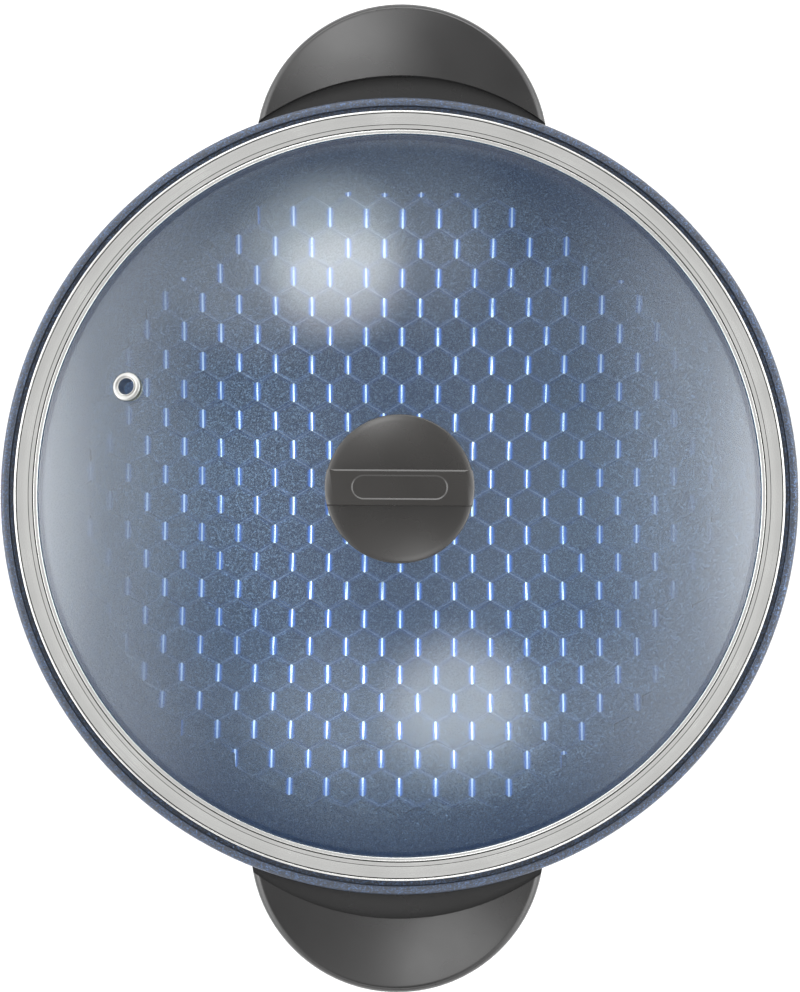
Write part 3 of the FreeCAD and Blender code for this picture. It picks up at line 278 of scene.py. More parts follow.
def join(name: str, *pieces: Piece) -> Piece:
    """Makes several pieces one, under a name."""
    pick(*pieces)
    if len(pieces) > 1:
        bpy.ops.object.join()
    pieces[0].name = name
    return pieces[0]


def soften(piece: Piece, width: float, segments: int = 2, angle: float = 30.0) -> None:
    """Rounds every edge sharper than an angle, and shades what is left smooth.

    Args:
        piece: the piece.
        width: the round's width in millimetres, or nothing for shading alone.
        segments: how many faces the round has.
        angle: the least turn of an edge that is rounded, in degrees.
    """
    if width:
        bevel = piece.modifiers.new("soft_edges", "BEVEL")
        bevel.width, bevel.segments = width * MM, segments
        bevel.limit_method, bevel.angle_limit = "ANGLE", math.radians(angle)
        apply(piece, bevel)
    pick(piece)
    bpy.ops.object.shade_smooth_by_angle(angle=math.radians(angle))


def moulded_copy(node: str, name: str, edge: float = 0.0) -> Piece:
    """A welded copy of a CAD node, with its flat faces made whole and its edges softened.

    Args:
        node: the node that the copy stands for.
        name: the copy's name.
        edge: the width of its rounded edges in millimetres.

    Returns:
        The copy.
    """
    piece = bpy.data.objects.new(name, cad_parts[node].data.copy())
    bpy.context.scene.collection.objects.link(piece)
    piece.data.materials.clear()
    pick(piece)
    bpy.ops.mesh.customdata_custom_splitnormals_clear()
    bpy.ops.object.mode_set(mode="EDIT")
    bpy.ops.mesh.select_all(action="SELECT")
    bpy.ops.mesh.remove_doubles(threshold=SAME_PLACE)
    bpy.ops.mesh.dissolve_limited(angle_limit=math.radians(SAME_FACE))
    bpy.ops.object.mode_set(mode="OBJECT")
    soften(piece, edge)
    return piece


def add(tree: Tree, kind: str, inputs: dict[Any, Any] | Sequence[Any] = (), **options: Any) -> Any:
    """Adds one node.

    Args:
        tree: the tree it goes in.
        kind: its type, without the ShaderNode in front.
        inputs: a value or the output that feeds it, for each input by name or number, or for the first
            few inputs in order.
        options: the node's own settings.

    Returns:
        The node.
    """
    node = tree.nodes.new(f"ShaderNode{kind}")
    for option, value in options.items():
        setattr(node, option, value)
    for key, value in inputs.items() if isinstance(inputs, dict) else enumerate(inputs):
        if isinstance(value, Socket):
            tree.links.new(value, node.inputs[key])
        else:
            node.inputs[key].default_value = value
    return node


def blank(owner: bpy.types.Material | bpy.types.World) -> Tree:
    """Turns on the nodes of a material or a world, and empties them.

    Args:
        owner: the material or the world.

    Returns:
        Its empty tree.
    """
    owner.use_nodes = True
    owner.node_tree.nodes.clear()
    return owner.node_tree


@dataclass(frozen=True)
class Finish:
    """What a surface is made of, and how it was made. Each kind of finish fills in its own shader."""

    name: str
    colour: str
    roughness: float

    def shade(self, tree: Tree, shader: Any) -> None:
        """Adds what is particular to this finish to the shader."""

    def surface(self, tree: Tree, shader: Any) -> Socket:
        """The output that the surface shows: the shader itself, unless a finish wraps it."""
        return shader.outputs["BSDF"]


@lru_cache(maxsize=None)
def material(finish: Finish) -> bpy.types.Material:
    """Makes a finish's material, once.

    Args:
        finish: the finish.

    Returns:
        The material.
    """
    made = bpy.data.materials.new(finish.name)
    tree = blank(made)
    shader = add(tree, "BsdfPrincipled", {"Base Color": linear(finish.colour), "Roughness": finish.roughness})
    finish.shade(tree, shader)
    add(tree, "OutputMaterial", {"Surface": finish.surface(tree, shader)})
    return made


def grain(tree: Tree, size: float, detail: float = 2.0, stretch: float = 1.0, turn: float = 0.0) -> Socket:
    """Noise on object coordinates.

    Args:
        tree: the tree it goes in.
        size: the size of one blotch in millimetres.
        detail: how many finer layers it has.
        stretch: how many times longer than wide a blotch is, for a brushed surface.
        turn: the way that it is long, in degrees from the first axis.

    Returns:
        The noise, mostly within the noise span.
    """
    drawn = {"Rotation": (0, 0, math.radians(turn)), "Scale": (stretch, 1, 1)}
    place = {"Vector": add(tree, "TexCoord").outputs["Object"], **drawn}
    place = add(tree, "Mapping", place, vector_type="TEXTURE").outputs[0]
    return add(tree, "TexNoise", {"Vector": place, "Scale": 1 / (size * MM), "Detail": detail}).outputs[0]


def mottle(tree: Tree, colour: Socket | Colour, noise: Socket, darkest: float, lightest: float) -> Socket:
    """Varies how light a colour is with a noise.

    Args:
        tree: the tree it goes in.
        colour: the colour, or the output that gives it.
        noise: the noise.
        darkest: what the colour is multiplied by where the noise is low.
        lightest: the same where the noise is high.

    Returns:
        The varied colour.
    """
    value = add(tree, "MapRange", (noise, *NOISE_SPAN, darkest, lightest)).outputs[0]
    return add(tree, "HueSaturation", {"Color": colour, "Value": value}).outputs[0]


def vary(tree: Tree, shader: Any, finish: Finish, noise: Socket, swing: float, shades: Point) -> None:
    """Varies a finish's gloss and how light its colour is with one noise.

    Args:
        tree: the tree it goes in.
        shader: the finish's shader.
        finish: the finish.
        noise: the noise.
        swing: how far the roughness goes up and down.
        shades: what the colour is multiplied by where the noise is low, and where it is high.
    """
    limits = (*NOISE_SPAN, finish.roughness - swing, finish.roughness + swing)
    rough = add(tree, "MapRange", (noise, *limits)).outputs[0]
    tree.links.new(rough, shader.inputs["Roughness"])
    tree.links.new(mottle(tree, linear(finish.colour), noise, *shades), shader.inputs["Base Color"])


def bump(tree: Tree, shader: Any, height: Socket, depth: float, normal: Socket | None = None) -> None:
    """Raises a shader's surface by a height.

    Args:
        tree: the tree it goes in.
        shader: the shader that is raised.
        height: the output from 0 to 1.
        depth: what 1 stands for, in millimetres.
        normal: the normal under the relief, where it isn't the mesh's own.
    """
    raised = add(tree, "Bump", {"Height": height, "Distance": depth * MM})
    if normal:
        tree.links.new(normal, raised.inputs["Normal"])
    tree.links.new(raised.outputs["Normal"], shader.inputs["Normal"])


def reach_from_axis(tree: Tree, depth_share: float = 1.0) -> Socket:
    """The distance from the wok's upright axis, in metres.

    Args:
        tree: the tree it goes in.
        depth_share: how much a step to the front or rear counts, beside one to the side.

    Returns:
        The distance.
    """
    place = add(tree, "TexCoord").outputs["Object"]
    flat = add(tree, "Mapping", {"Vector": place, "Scale": (1, depth_share, 0)}).outputs[0]
    return add(tree, "VectorMath", {0: flat}, operation="LENGTH").outputs["Value"]


@dataclass(frozen=True)
class SprayedCoating(Finish):
    """Non-stick coating, sprayed on cast aluminium and baked. It is a satin film, bluest in the middle
    where it is thickest and greyer on the flange, with metal flakes in it that lie at all angles and
    glint one by one."""

    wall_colour: str
    flange_colour: str
    flake_colour: str
    flake_size: float
    flake_share: float
    flake_tilt: float

    # the reaches in millimetres between which the floor's colour turns to the wall's and then the flange's
    WALL_FADE = (60.0, 155.0)
    FLANGE_FADE = (172.0, 186.0)
    CLOUD_SIZE = 9.0
    CLOUD_SHADES = (0.96, 1.04)
    # the share of the flakes that show in full, and how metallic those are
    WHOLE_FLAKES = 0.3
    FLAKE_METAL = 0.95
    SKIN_DEPTH = 0.02

    def shade(self, tree: Tree, shader: Any) -> None:
        """Scatters tilted metal flakes over a cloudy base."""
        reach = reach_from_axis(tree)
        film = linear(self.colour)
        for fade, colour in ((self.WALL_FADE, self.wall_colour), (self.FLANGE_FADE, self.flange_colour)):
            start, end = (edge * MM for edge in fade)
            share = add(tree, "MapRange", (reach, start, end, 0.0, 1.0)).outputs[0]
            film = add(tree, "Mix", {0: share, 6: film, 7: linear(colour)}, data_type="RGBA").outputs[2]
        film = mottle(tree, film, grain(tree, self.CLOUD_SIZE, 4.0), *self.CLOUD_SHADES)

        place = add(tree, "TexCoord").outputs["Object"]
        cells = add(tree, "TexVoronoi", {"Vector": place, "Scale": 1 / (self.flake_size * MM)})
        cells = cells.outputs["Color"]
        draw = add(tree, "SeparateColor", {0: cells}).outputs[0]
        faint, whole = 1 - self.flake_share, 1 - self.flake_share * self.WHOLE_FLAKES
        flake = add(tree, "MapRange", (draw, faint, whole, 0.0, 1.0)).outputs[0]
        colours = {6: film, 7: linear(self.flake_colour)}
        film = add(tree, "Mix", {0: flake, **colours}, data_type="RGBA").outputs[2]
        tree.links.new(film, shader.inputs["Base Color"])
        metal = add(tree, "MapRange", (flake, 0.0, 1.0, 0.0, self.FLAKE_METAL)).outputs[0]
        tree.links.new(metal, shader.inputs["Metallic"])

        # a cell's colour, taken about its middle, is a random way for its flake to lean
        lean = add(tree, "VectorMath", {0: cells, 1: (0.5, 0.5, 0.5)}, operation="SUBTRACT").outputs[0]
        amount = self.tilt(tree)
        lean = add(tree, "VectorMath", {0: lean, "Scale": amount}, operation="SCALE").outputs[0]
        normal = add(tree, "NewGeometry").outputs["Normal"]
        normal = add(tree, "VectorMath", {0: normal, 1: lean}, operation="ADD").outputs[0]
        normal = add(tree, "VectorMath", {0: normal}, operation="NORMALIZE").outputs[0]
        bump(tree, shader, self.skin(tree), self.SKIN_DEPTH, normal)

    def skin(self, tree: Tree) -> Socket:
        """The fine pebbling that spray leaves."""
        return grain(tree, 0.9, 1.0)

    def tilt(self, tree: Tree) -> Any:
        """How far the flakes tilt."""
        return self.flake_tilt


@dataclass(frozen=True)
class ReliefCoating(SprayedCoating):
    """The same coating where the honeycomb is raised, with highlights painted on its walls. On the walls that
    run up and down the pan the film gives way to bright metal, with a painted blue glow at its edge, so they
    shine like polished steel where they face a light. The slanting walls keep most of the film, and the
    painted highlight fades away from the pan's middle, soonest towards its left and right. The floor between
    is brushed on the slant."""

    # the painted highlight: the colour of its blue glow and of its bright metal crest, that crest's
    # roughness, how much of it the slanting walls keep, and the reaches in millimetres over which it fades
    # away from the middle
    painted_glow_colour: str
    crest_glint_colour: str
    crest_roughness: float
    slant_highlight_share: float
    fade: Point

    # the heights on a wall, as shares of the crest, where the painted blue glow starts and where the painted
    # highlight turns to bright metal
    GLOW_HEIGHTS = (0.0, 0.14)
    CREST_HEIGHTS = (0.28, 0.6)
    # the heights where the flakes start to lie flat, and how strong the painted highlight is where all of
    # them do
    FLAT_HEIGHTS = (0.0, 0.25)
    FLAT_FILM = 0.3
    # how much of the painted highlight is left far from the middle, and how steps to the front count in that
    # reach
    FAR_HIGHLIGHT_SHARE = 0.06
    DEPTH_SHARE = 0.62

    def bare(self, tree: Tree, low: float, high: float) -> Socket:
        """Where the highlight is painted, from the mesh's attributes for height and for the way a wall runs.

        Args:
            tree: the tree it goes in.
            low: the height on the wall where the painted highlight starts, as a share of the crest.
            high: the height where it is strongest.

        Returns:
            A value from 0 to 1.
        """
        height = add(tree, "Attribute", attribute_name="crest").outputs["Fac"]
        upright = add(tree, "Attribute", attribute_name="upright").outputs["Fac"]
        start, end = (edge * MM for edge in self.fade)
        reach = reach_from_axis(tree, self.DEPTH_SHARE)
        thin = add(tree, "MapRange", (height, low, high, 0.0, 1.0)).outputs[0]
        for limits in ((upright, 0.0, 1.0, self.slant_highlight_share, 1.0), (reach, start, end, 1.0, self.FAR_HIGHLIGHT_SHARE)):
            share = add(tree, "MapRange", limits).outputs[0]
            thin = add(tree, "Math", (thin, share), operation="MULTIPLY").outputs[0]
        return thin

    def tilt(self, tree: Tree) -> Any:
        """Lays the flakes flat where the highlight is painted."""
        bare = self.bare(tree, *self.FLAT_HEIGHTS)
        return add(tree, "MapRange", (bare, 0.0, self.FLAT_FILM, self.flake_tilt, 0.0)).outputs[0]

    def skin(self, tree: Tree) -> Socket:
        """The slanting brush marks under the film."""
        return grain(tree, 0.45, 1.0, stretch=9.0, turn=35.0)

    def shade(self, tree: Tree, shader: Any) -> None:
        """Paints the highlight along the walls in two steps: a blue glow, then bright metal."""
        super().shade(tree, shader)
        # the highlight is painted in two steps: a blue glow low on the walls, then bright bare metal higher
        # up
        for bare, colour, metallic in (
            (self.bare(tree, *self.GLOW_HEIGHTS), self.painted_glow_colour, 0.0),
            (self.bare(tree, *self.CREST_HEIGHTS), self.crest_glint_colour, 1.0),
        ):
            under = shader.inputs["Base Color"].links[0].from_socket
            film = add(tree, "Mix", {0: bare, 6: under, 7: linear(colour)}, data_type="RGBA").outputs[2]
            tree.links.new(film, shader.inputs["Base Color"])
            metal = shader.inputs["Metallic"].links[0].from_socket
            metal = add(tree, "Mix", {0: bare, 2: metal, 3: metallic}).outputs[0]
            tree.links.new(metal, shader.inputs["Metallic"])
        rough = add(tree, "MapRange", (bare, 0.0, 1.0, self.roughness, self.crest_roughness)).outputs[0]
        tree.links.new(rough, shader.inputs["Roughness"])


@dataclass(frozen=True)
class ToughenedGlass(Finish):
    """Soda-lime glass, pressed to a dome and toughened: clear, fire-polished and faintly green in depth.
    Rays from lamps and diffuse light go straight through it, so that the bowl under it is lit."""

    INDEX = 1.5
    WAVE_LENGTH = 60.0
    WAVE_DEPTH = 0.008
    LET_THROUGH = "#F4FAF9"

    def shade(self, tree: Tree, shader: Any) -> None:
        """Makes the shader clear, with the long shallow waves that heat leaves."""
        shader.inputs["Transmission Weight"].default_value = 1.0
        shader.inputs["IOR"].default_value = self.INDEX
        bump(tree, shader, grain(tree, self.WAVE_LENGTH, 0.0), self.WAVE_DEPTH)

    def surface(self, tree: Tree, shader: Any) -> Socket:
        """Lets lamps and diffuse light through."""
        clear = add(tree, "BsdfTransparent", {"Color": linear(self.LET_THROUGH)}).outputs[0]
        rays = add(tree, "LightPath").outputs
        # a ray that went into the glass counts as glossy too, and still has to be refracted on its way out
        glossy, inside = rays["Is Glossy Ray"], rays["Is Transmission Ray"]
        mirrored = add(tree, "Math", (glossy, inside), operation="SUBTRACT").outputs[0]
        through = rays["Is Shadow Ray"]
        for ray in (rays["Is Diffuse Ray"], mirrored):
            through = add(tree, "Math", (through, ray), operation="MAXIMUM").outputs[0]
        return add(tree, "MixShader", {0: through, 1: shader.outputs["BSDF"], 2: clear}).outputs[0]


@dataclass(frozen=True)
class SpunSteel(Finish):
    """Stainless steel sheet, roll-formed or turned and polished: bright, with hair-fine rings about the wok's
    axis that draw its highlights out. Its seams, given by radius and half width, are darkened with painted
    shade."""

    ring_spacing: float
    seams: tuple[Point, ...] = ()

    RING_DEPTH = 0.004
    SMEAR_SIZE = 22.0
    # how far the roughness swings about its middle, as a share of it
    GLOSS_SWING = 0.25
    # the colour of the painted shade in the seams and grooves
    SEAM_SHADE_COLOUR = "#2B2A28"
    # how far a seam's edge is blurred, as a share of its half width
    SEAM_BLUR = 0.2

    def shade(self, tree: Tree, shader: Any) -> None:
        """Varies the gloss in fine rings, scratches them in and darkens the seams with painted shade."""
        shader.inputs["Metallic"].default_value = 1.0
        reach = reach_from_axis(tree)
        height = add(tree, "SeparateXYZ", {0: add(tree, "TexCoord").outputs["Object"]}).outputs[2]
        across = add(tree, "CombineXYZ", {0: reach, 1: height}).outputs[0]
        fine = 1 / (self.ring_spacing * MM)
        rings = add(tree, "TexNoise", {"Vector": across, "Scale": fine, "Detail": 3.0}).outputs[0]
        both = add(tree, "Math", (rings, grain(tree, self.SMEAR_SIZE, 3.0)), operation="ADD").outputs[0]
        span = [2 * limit for limit in NOISE_SPAN]
        swings = [self.roughness * (1 + swing) for swing in (-self.GLOSS_SWING, self.GLOSS_SWING)]
        rough = add(tree, "MapRange", (both, *span, *swings)).outputs[0]
        tree.links.new(rough, shader.inputs["Roughness"])
        bump(tree, shader, rings, self.RING_DEPTH)
        colour = linear(self.colour)
        # painted shade darkens each seam
        for middle, half in self.seams:
            off = add(tree, "Math", (reach, middle * MM), operation="SUBTRACT").outputs[0]
            off = add(tree, "Math", (off,), operation="ABSOLUTE").outputs[0]
            inner, outer = (half * (1 + blur) * MM for blur in (-self.SEAM_BLUR, self.SEAM_BLUR))
            seam_shade = add(tree, "MapRange", (off, inner, outer, 1.0, 0.0)).outputs[0]
            colours = {6: colour, 7: linear(self.SEAM_SHADE_COLOUR)}
            colour = add(tree, "Mix", {0: seam_shade, **colours}, data_type="RGBA").outputs[2]
            tree.links.new(colour, shader.inputs["Base Color"])


@dataclass(frozen=True)
class Moulding(Finish):
    """A moulded plastic or rubber part: the colour is in the material, and the mould's spark-eroded skin
    leaves a fine even grain that spreads its highlights. Handling polishes it in faint patches."""

    grain_size: float
    depth: float
    index: float = 1.5

    PATCH_SIZE = 30.0
    POLISH = 0.04
    SHADES = (0.94, 1.06)

    def shade(self, tree: Tree, shader: Any) -> None:
        """Grains the skin, and varies its gloss and its grey a little."""
        shader.inputs["IOR"].default_value = self.index
        patches = grain(tree, self.PATCH_SIZE, 3.0)
        vary(tree, shader, self, patches, self.POLISH, self.SHADES)
        bump(tree, shader, grain(tree, self.grain_size, 1.0), self.depth)


@dataclass(frozen=True)
class PlatedMetal(Finish):
    """A pressed or headed metal part with a thin plating: bright but uneven, with the cloudy bloom that a
    barrel-plated skin has."""

    bloom: float

    CLOUD_SIZE = 3.0
    SHADES = (0.9, 1.05)
    SKIN_DEPTH = 0.01

    def shade(self, tree: Tree, shader: Any) -> None:
        """Clouds the gloss and the tone."""
        shader.inputs["Metallic"].default_value = 1.0
        cloud = grain(tree, self.CLOUD_SIZE, 4.0)
        vary(tree, shader, self, cloud, self.bloom, self.SHADES)
        bump(tree, shader, cloud, self.SKIN_DEPTH)


@dataclass(frozen=True)
class SeamlessPaper(Finish):
    """The studio's floor: matte white backdrop paper."""

    CLOUD_SIZE = 300.0
    SHADES = (0.99, 1.0)

    def shade(self, tree: Tree, shader: Any) -> None:
        """Clouds the white so faintly that it stays even."""
        colour = mottle(tree, linear(self.colour), grain(tree, self.CLOUD_SIZE), *self.SHADES)
        tree.links.new(colour, shader.inputs["Base Color"])
        shader.inputs["Specular IOR Level"].default_value = 0.0


@dataclass(frozen=True)
class ClearMoulding(Finish):
    """A small clear or tinted moulding, such as a lens or a lamp's envelope: glossy, with a soft glow from
    the light that it lets in."""

    clearness: float

    INDEX = 1.49
    RIPPLE_SIZE = 2.0
    RIPPLE_DEPTH = 0.01

    def shade(self, tree: Tree, shader: Any) -> None:
        """Lets part of the light in, and ripples the skin faintly."""
        shader.inputs["Transmission Weight"].default_value = self.clearness
        shader.inputs["IOR"].default_value = self.INDEX
        bump(tree, shader, grain(tree, self.RIPPLE_SIZE, 1.0), self.RIPPLE_DEPTH)


# PTFE film with aluminium flakes, sprayed on cast aluminium: satin blue with fine glints
FILM = {
    "colour": "#102C54",
    "roughness": 0.4,
    "wall_colour": "#0B2344",
    "flange_colour": "#333842",
    "flake_colour": "#5C6D8A",
    "flake_size": 0.45,
    "flake_share": 0.35,
    "flake_tilt": 0.4,
}
COATING = SprayedCoating("sprayed_nonstick_coating", **FILM)
# the same film over the raised honeycomb, with painted highlights: white-hot threads with a painted blue glow
# where its walls face a light
RELIEF = ReliefCoating(
    "sprayed_nonstick_relief",
    **FILM,
    painted_glow_colour="#3872DA",
    crest_glint_colour="#E2EEFF",
    crest_roughness=0.22,
    slant_highlight_share=0.1,
    fade=(66.0, 136.0),
)
# soda-lime glass pressed over a dome: clear, with a faint green edge
GLASS = ToughenedGlass("toughened_glass", "#F2FAF8", 0.0)
# roll-formed 18/8 stainless band, polished after forming: bright rings
BAND_STEEL = SpunSteel("polished_stainless_band", "#DADAD8", 0.24, 0.3)
# deep-drawn stainless eyelet, tumbled bright
EYELET_STEEL = SpunSteel("drawn_stainless_eyelet", "#A6A6A4", 0.36, 0.25)
# turned stainless collar and washer
TURNED_STEEL = SpunSteel("turned_stainless", "#CFCFCC", 0.25, 0.2)
# compression-moulded phenolic, spark-eroded skin: warm satin charcoal
PHENOLIC = Moulding("moulded_phenolic", "#0E0D0D", 0.25, 0.35, 0.01, 1.64)
# the knob's phenolic is warmer and lighter than the handles'
KNOB_PHENOLIC = Moulding("moulded_phenolic_knob", "#1C1A18", 0.28, 0.35, 0.01, 1.6)
# glass-filled nylon for base and housing: blacker and a little duller
NYLON = Moulding("moulded_nylon", "#1D1E20", 0.5, 0.5, 0.02)
# the dial and the trigger are glossier ABS
DIAL_ABS = Moulding("moulded_abs", "#202123", 0.32, 0.3, 0.006)
# nitrile feet and gland: matte, with a dusty bloom
RUBBER = Moulding("moulded_rubber", "#1B1B1B", 0.75, 0.6, 0.03)
# grey silicone seals, a little translucent; the mid-dark grey is partly painted shade, standing in for the
# shadow under the vent eyelet's rolled ring
SILICONE = ClearMoulding("moulded_silicone", "#6E6D69", 0.45, 0.15)
# white thermoset block, dull as unglazed ware
THERMOSET = Moulding("moulded_white_thermoset", "#D8D5CB", 0.55, 0.4, 0.01)
# incoloy sheath, blued by heat
SHEATH = PlatedMetal("annealed_element_sheath", "#7A7266", 0.42, 0.08)
# zinc-plated steel screws, pins and pressings
ZINC = PlatedMetal("zinc_plated_steel", "#C2C4C4", 0.32, 0.1)
# aluminised steel shield
SHIELD = PlatedMetal("aluminised_steel", "#B4B7B8", 0.38, 0.08)
# hard spring strip
SPRING = PlatedMetal("spring_steel_strip", "#A3A4A2", 0.28, 0.06)
# turned brass, lightly tarnished
BRASS = PlatedMetal("turned_brass", "#C3A15A", 0.3, 0.08)
# injection-moulded amber polycarbonate
AMBER = ClearMoulding("amber_polycarbonate", "#E07A1C", 0.12, 0.6)
# neon lamp's glass envelope
LAMP_GLASS = ClearMoulding("neon_lamp_glass", "#F2C9A0", 0.05, 0.85)
# white ink, pad-printed on the housing
INK = Moulding("pad_printed_ink", "#DADAD6", 0.5, 0.3, 0.002)
# matte seamless paper, white from wood pulp: even, with the faintest cloud of its fibres
PAPER = SeamlessPaper("seamless_paper", "#FCFCFC", 0.9)


def dress(piece: Piece, finish: Finish, body: str, slot: str, *nodes: str) -> Piece:
    """Finishes a piece: its material, the body it rides on and the nodes it stands for.

    Args:
        piece: the piece.
        finish: its finish.
        body: the body that it moves with.
        slot: the record's material slot; not used.
        nodes: the CAD nodes that it replaces.

    Returns:
        The piece.
    """
    piece.data.materials.clear()
    piece.data.materials.append(material(finish))
    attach(piece, body)
    if nodes:
        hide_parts(*nodes)
    size = [(max(places) - min(places)) / MM for places in zip(*piece.bound_box)]
    log.info("%s: %d faces, %.1f x %.1f x %.1f mm", piece.name, len(piece.data.polygons), *size)
    return piece


def dress_copies(body: str, *copies: tuple[str, str, float, Finish, str]) -> None:
    """Dresses pieces that are softened copies of the CAD nodes they stand for.

    Args:
        body: the body that they move with.
        copies: for each its node, its own name, the width of its rounded edges in millimetres, its finish
            and its slot.
    """
    for node, name, edge, finish, slot in copies:
        dress(moulded_copy(node, name, edge), finish, body, slot, node)


def reach_of(node: str, axis: int) -> float:
    """How far a CAD node goes along an axis, in millimetres."""
    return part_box(node)[1][axis] / MM


def foot_of(node: str, axis: int) -> float:
    """Where a CAD node starts along an axis, in millimetres."""
    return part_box(node)[0][axis] / MM


@dataclass
class Bowl:
    """The cast bowl, turned as one shell from its floor to the flange, with what is cast on below."""

    flange_radius: float = reach_of("wok_bowl", 0)
    flange_top: float = reach_of("wok_bowl", 2)
    cast_bottom: float = foot_of("wok_bowl", 2)
    floor: float = 52.0
    wall: float = 3.0
    rebate_depth: float = 4.0
    lip: float = 4.0
    lip_break: float = 0.6
    ledge: float = 14.0
    mouth_round: float = 1.0
    mouth_step: float = 4.85
    flange_edge: float = 7.5
    flange_round: float = 2.4
    flange_width: float = 15.0
    ring_inner: float = 54.0
    ring_outer: float = 70.0
    draft: float = 1.5
    lug_depth: float = 22.0
    lug_width: float = 60.0
    lug_reach: float = 14.0
    lug_edge: float = 1.0
    # how far the lug's foot and head run into the wall
    lug_sink: Point = (2.6, 2.3)

    @property
    def ledge_height(self) -> float:
        """Height of the ledge that the lid sits on."""
        return self.flange_top - self.rebate_depth

    @property
    def rebate_radius(self) -> float:
        """Radius of the wall round the lid."""
        return self.flange_radius - self.lip

    @property
    def mouth(self) -> float:
        """Radius of the bowl's mouth."""
        return self.rebate_radius - self.ledge

    @property
    def curve(self) -> float:
        """Radius of the ball that the hollow is part of."""
        depth = self.ledge_height - self.mouth_step - self.floor
        return (self.mouth**2 + depth**2) / (2 * depth)

    @property
    def middle(self) -> float:
        """Height of that ball's centre."""
        return self.floor + self.curve

    def reach(self, height: float) -> float:
        """How far the bowl's outer face is from its axis at a height."""
        return math.sqrt((self.curve + self.wall) ** 2 - (self.middle - height) ** 2)

    def profile(self) -> list[Point]:
        """The bowl's section, from the axis below to the axis inside."""
        outer = -(self.curve + self.wall)
        root = self.flange_radius - self.flange_width
        edge, top, turn, lip = self.flange_radius, self.flange_top, self.flange_round, self.lip_break
        rebate, ledge, lead = self.rebate_radius, self.ledge_height, self.mouth_round
        return [
            *crown(self.middle, outer, 0, self.ring_inner, 8),
            (self.ring_inner + self.draft, self.cast_bottom),
            (self.ring_outer - self.draft, self.cast_bottom),
            *crown(self.middle, outer, self.ring_outer, root, 24),
            *arc((edge - turn, top - self.flange_edge + turn), turn, -60, 0, 4),
            *arc((edge - turn, top - turn), turn, 0, 90, 5),
            *arc((rebate + lip, top - lip), lip, 90, 180, 4),
            (rebate, ledge + lip),
            *arc((rebate - lip, ledge + lip), lip, 0, -90, 3),
            *arc((self.mouth + lead, ledge - lead), lead, 90, 180, 4),
            *crown(self.middle, -self.curve, self.mouth, 0, 44),
        ]

    def lug(self, side: Side) -> Piece:
        """The cast lug that a handle screws to."""
        low, high = self.flange_top - self.lug_depth, self.flange_top - self.flange_edge
        half = self.lug_width / 2
        end = self.mouth + self.lug_reach
        foot, head = (self.reach(at) - sink for at, sink in zip((low, high), self.lug_sink))
        outline = [(foot, low), (end, low), (end, high), (head, high)]
        outline = [(side.value * reach, height) for reach, height in outline]
        piece = slab(f"lug_{side.name.lower()}", outline, -half, half, Way.ALONG_X)
        soften(piece, self.lug_edge)
        return piece

    def build(self) -> Piece:
        """Turns the bowl and adds the lugs."""
        shell = lathe("cast_bowl", self.profile(), 192)
        soften(shell, 0, angle=50)
        return join("cast_bowl", shell, *(self.lug(side) for side in Side))

    def dress(self) -> None:
        """Coats the bowl."""
        dress(self.build(), COATING, "root", "coated_aluminium", "wok_bowl")


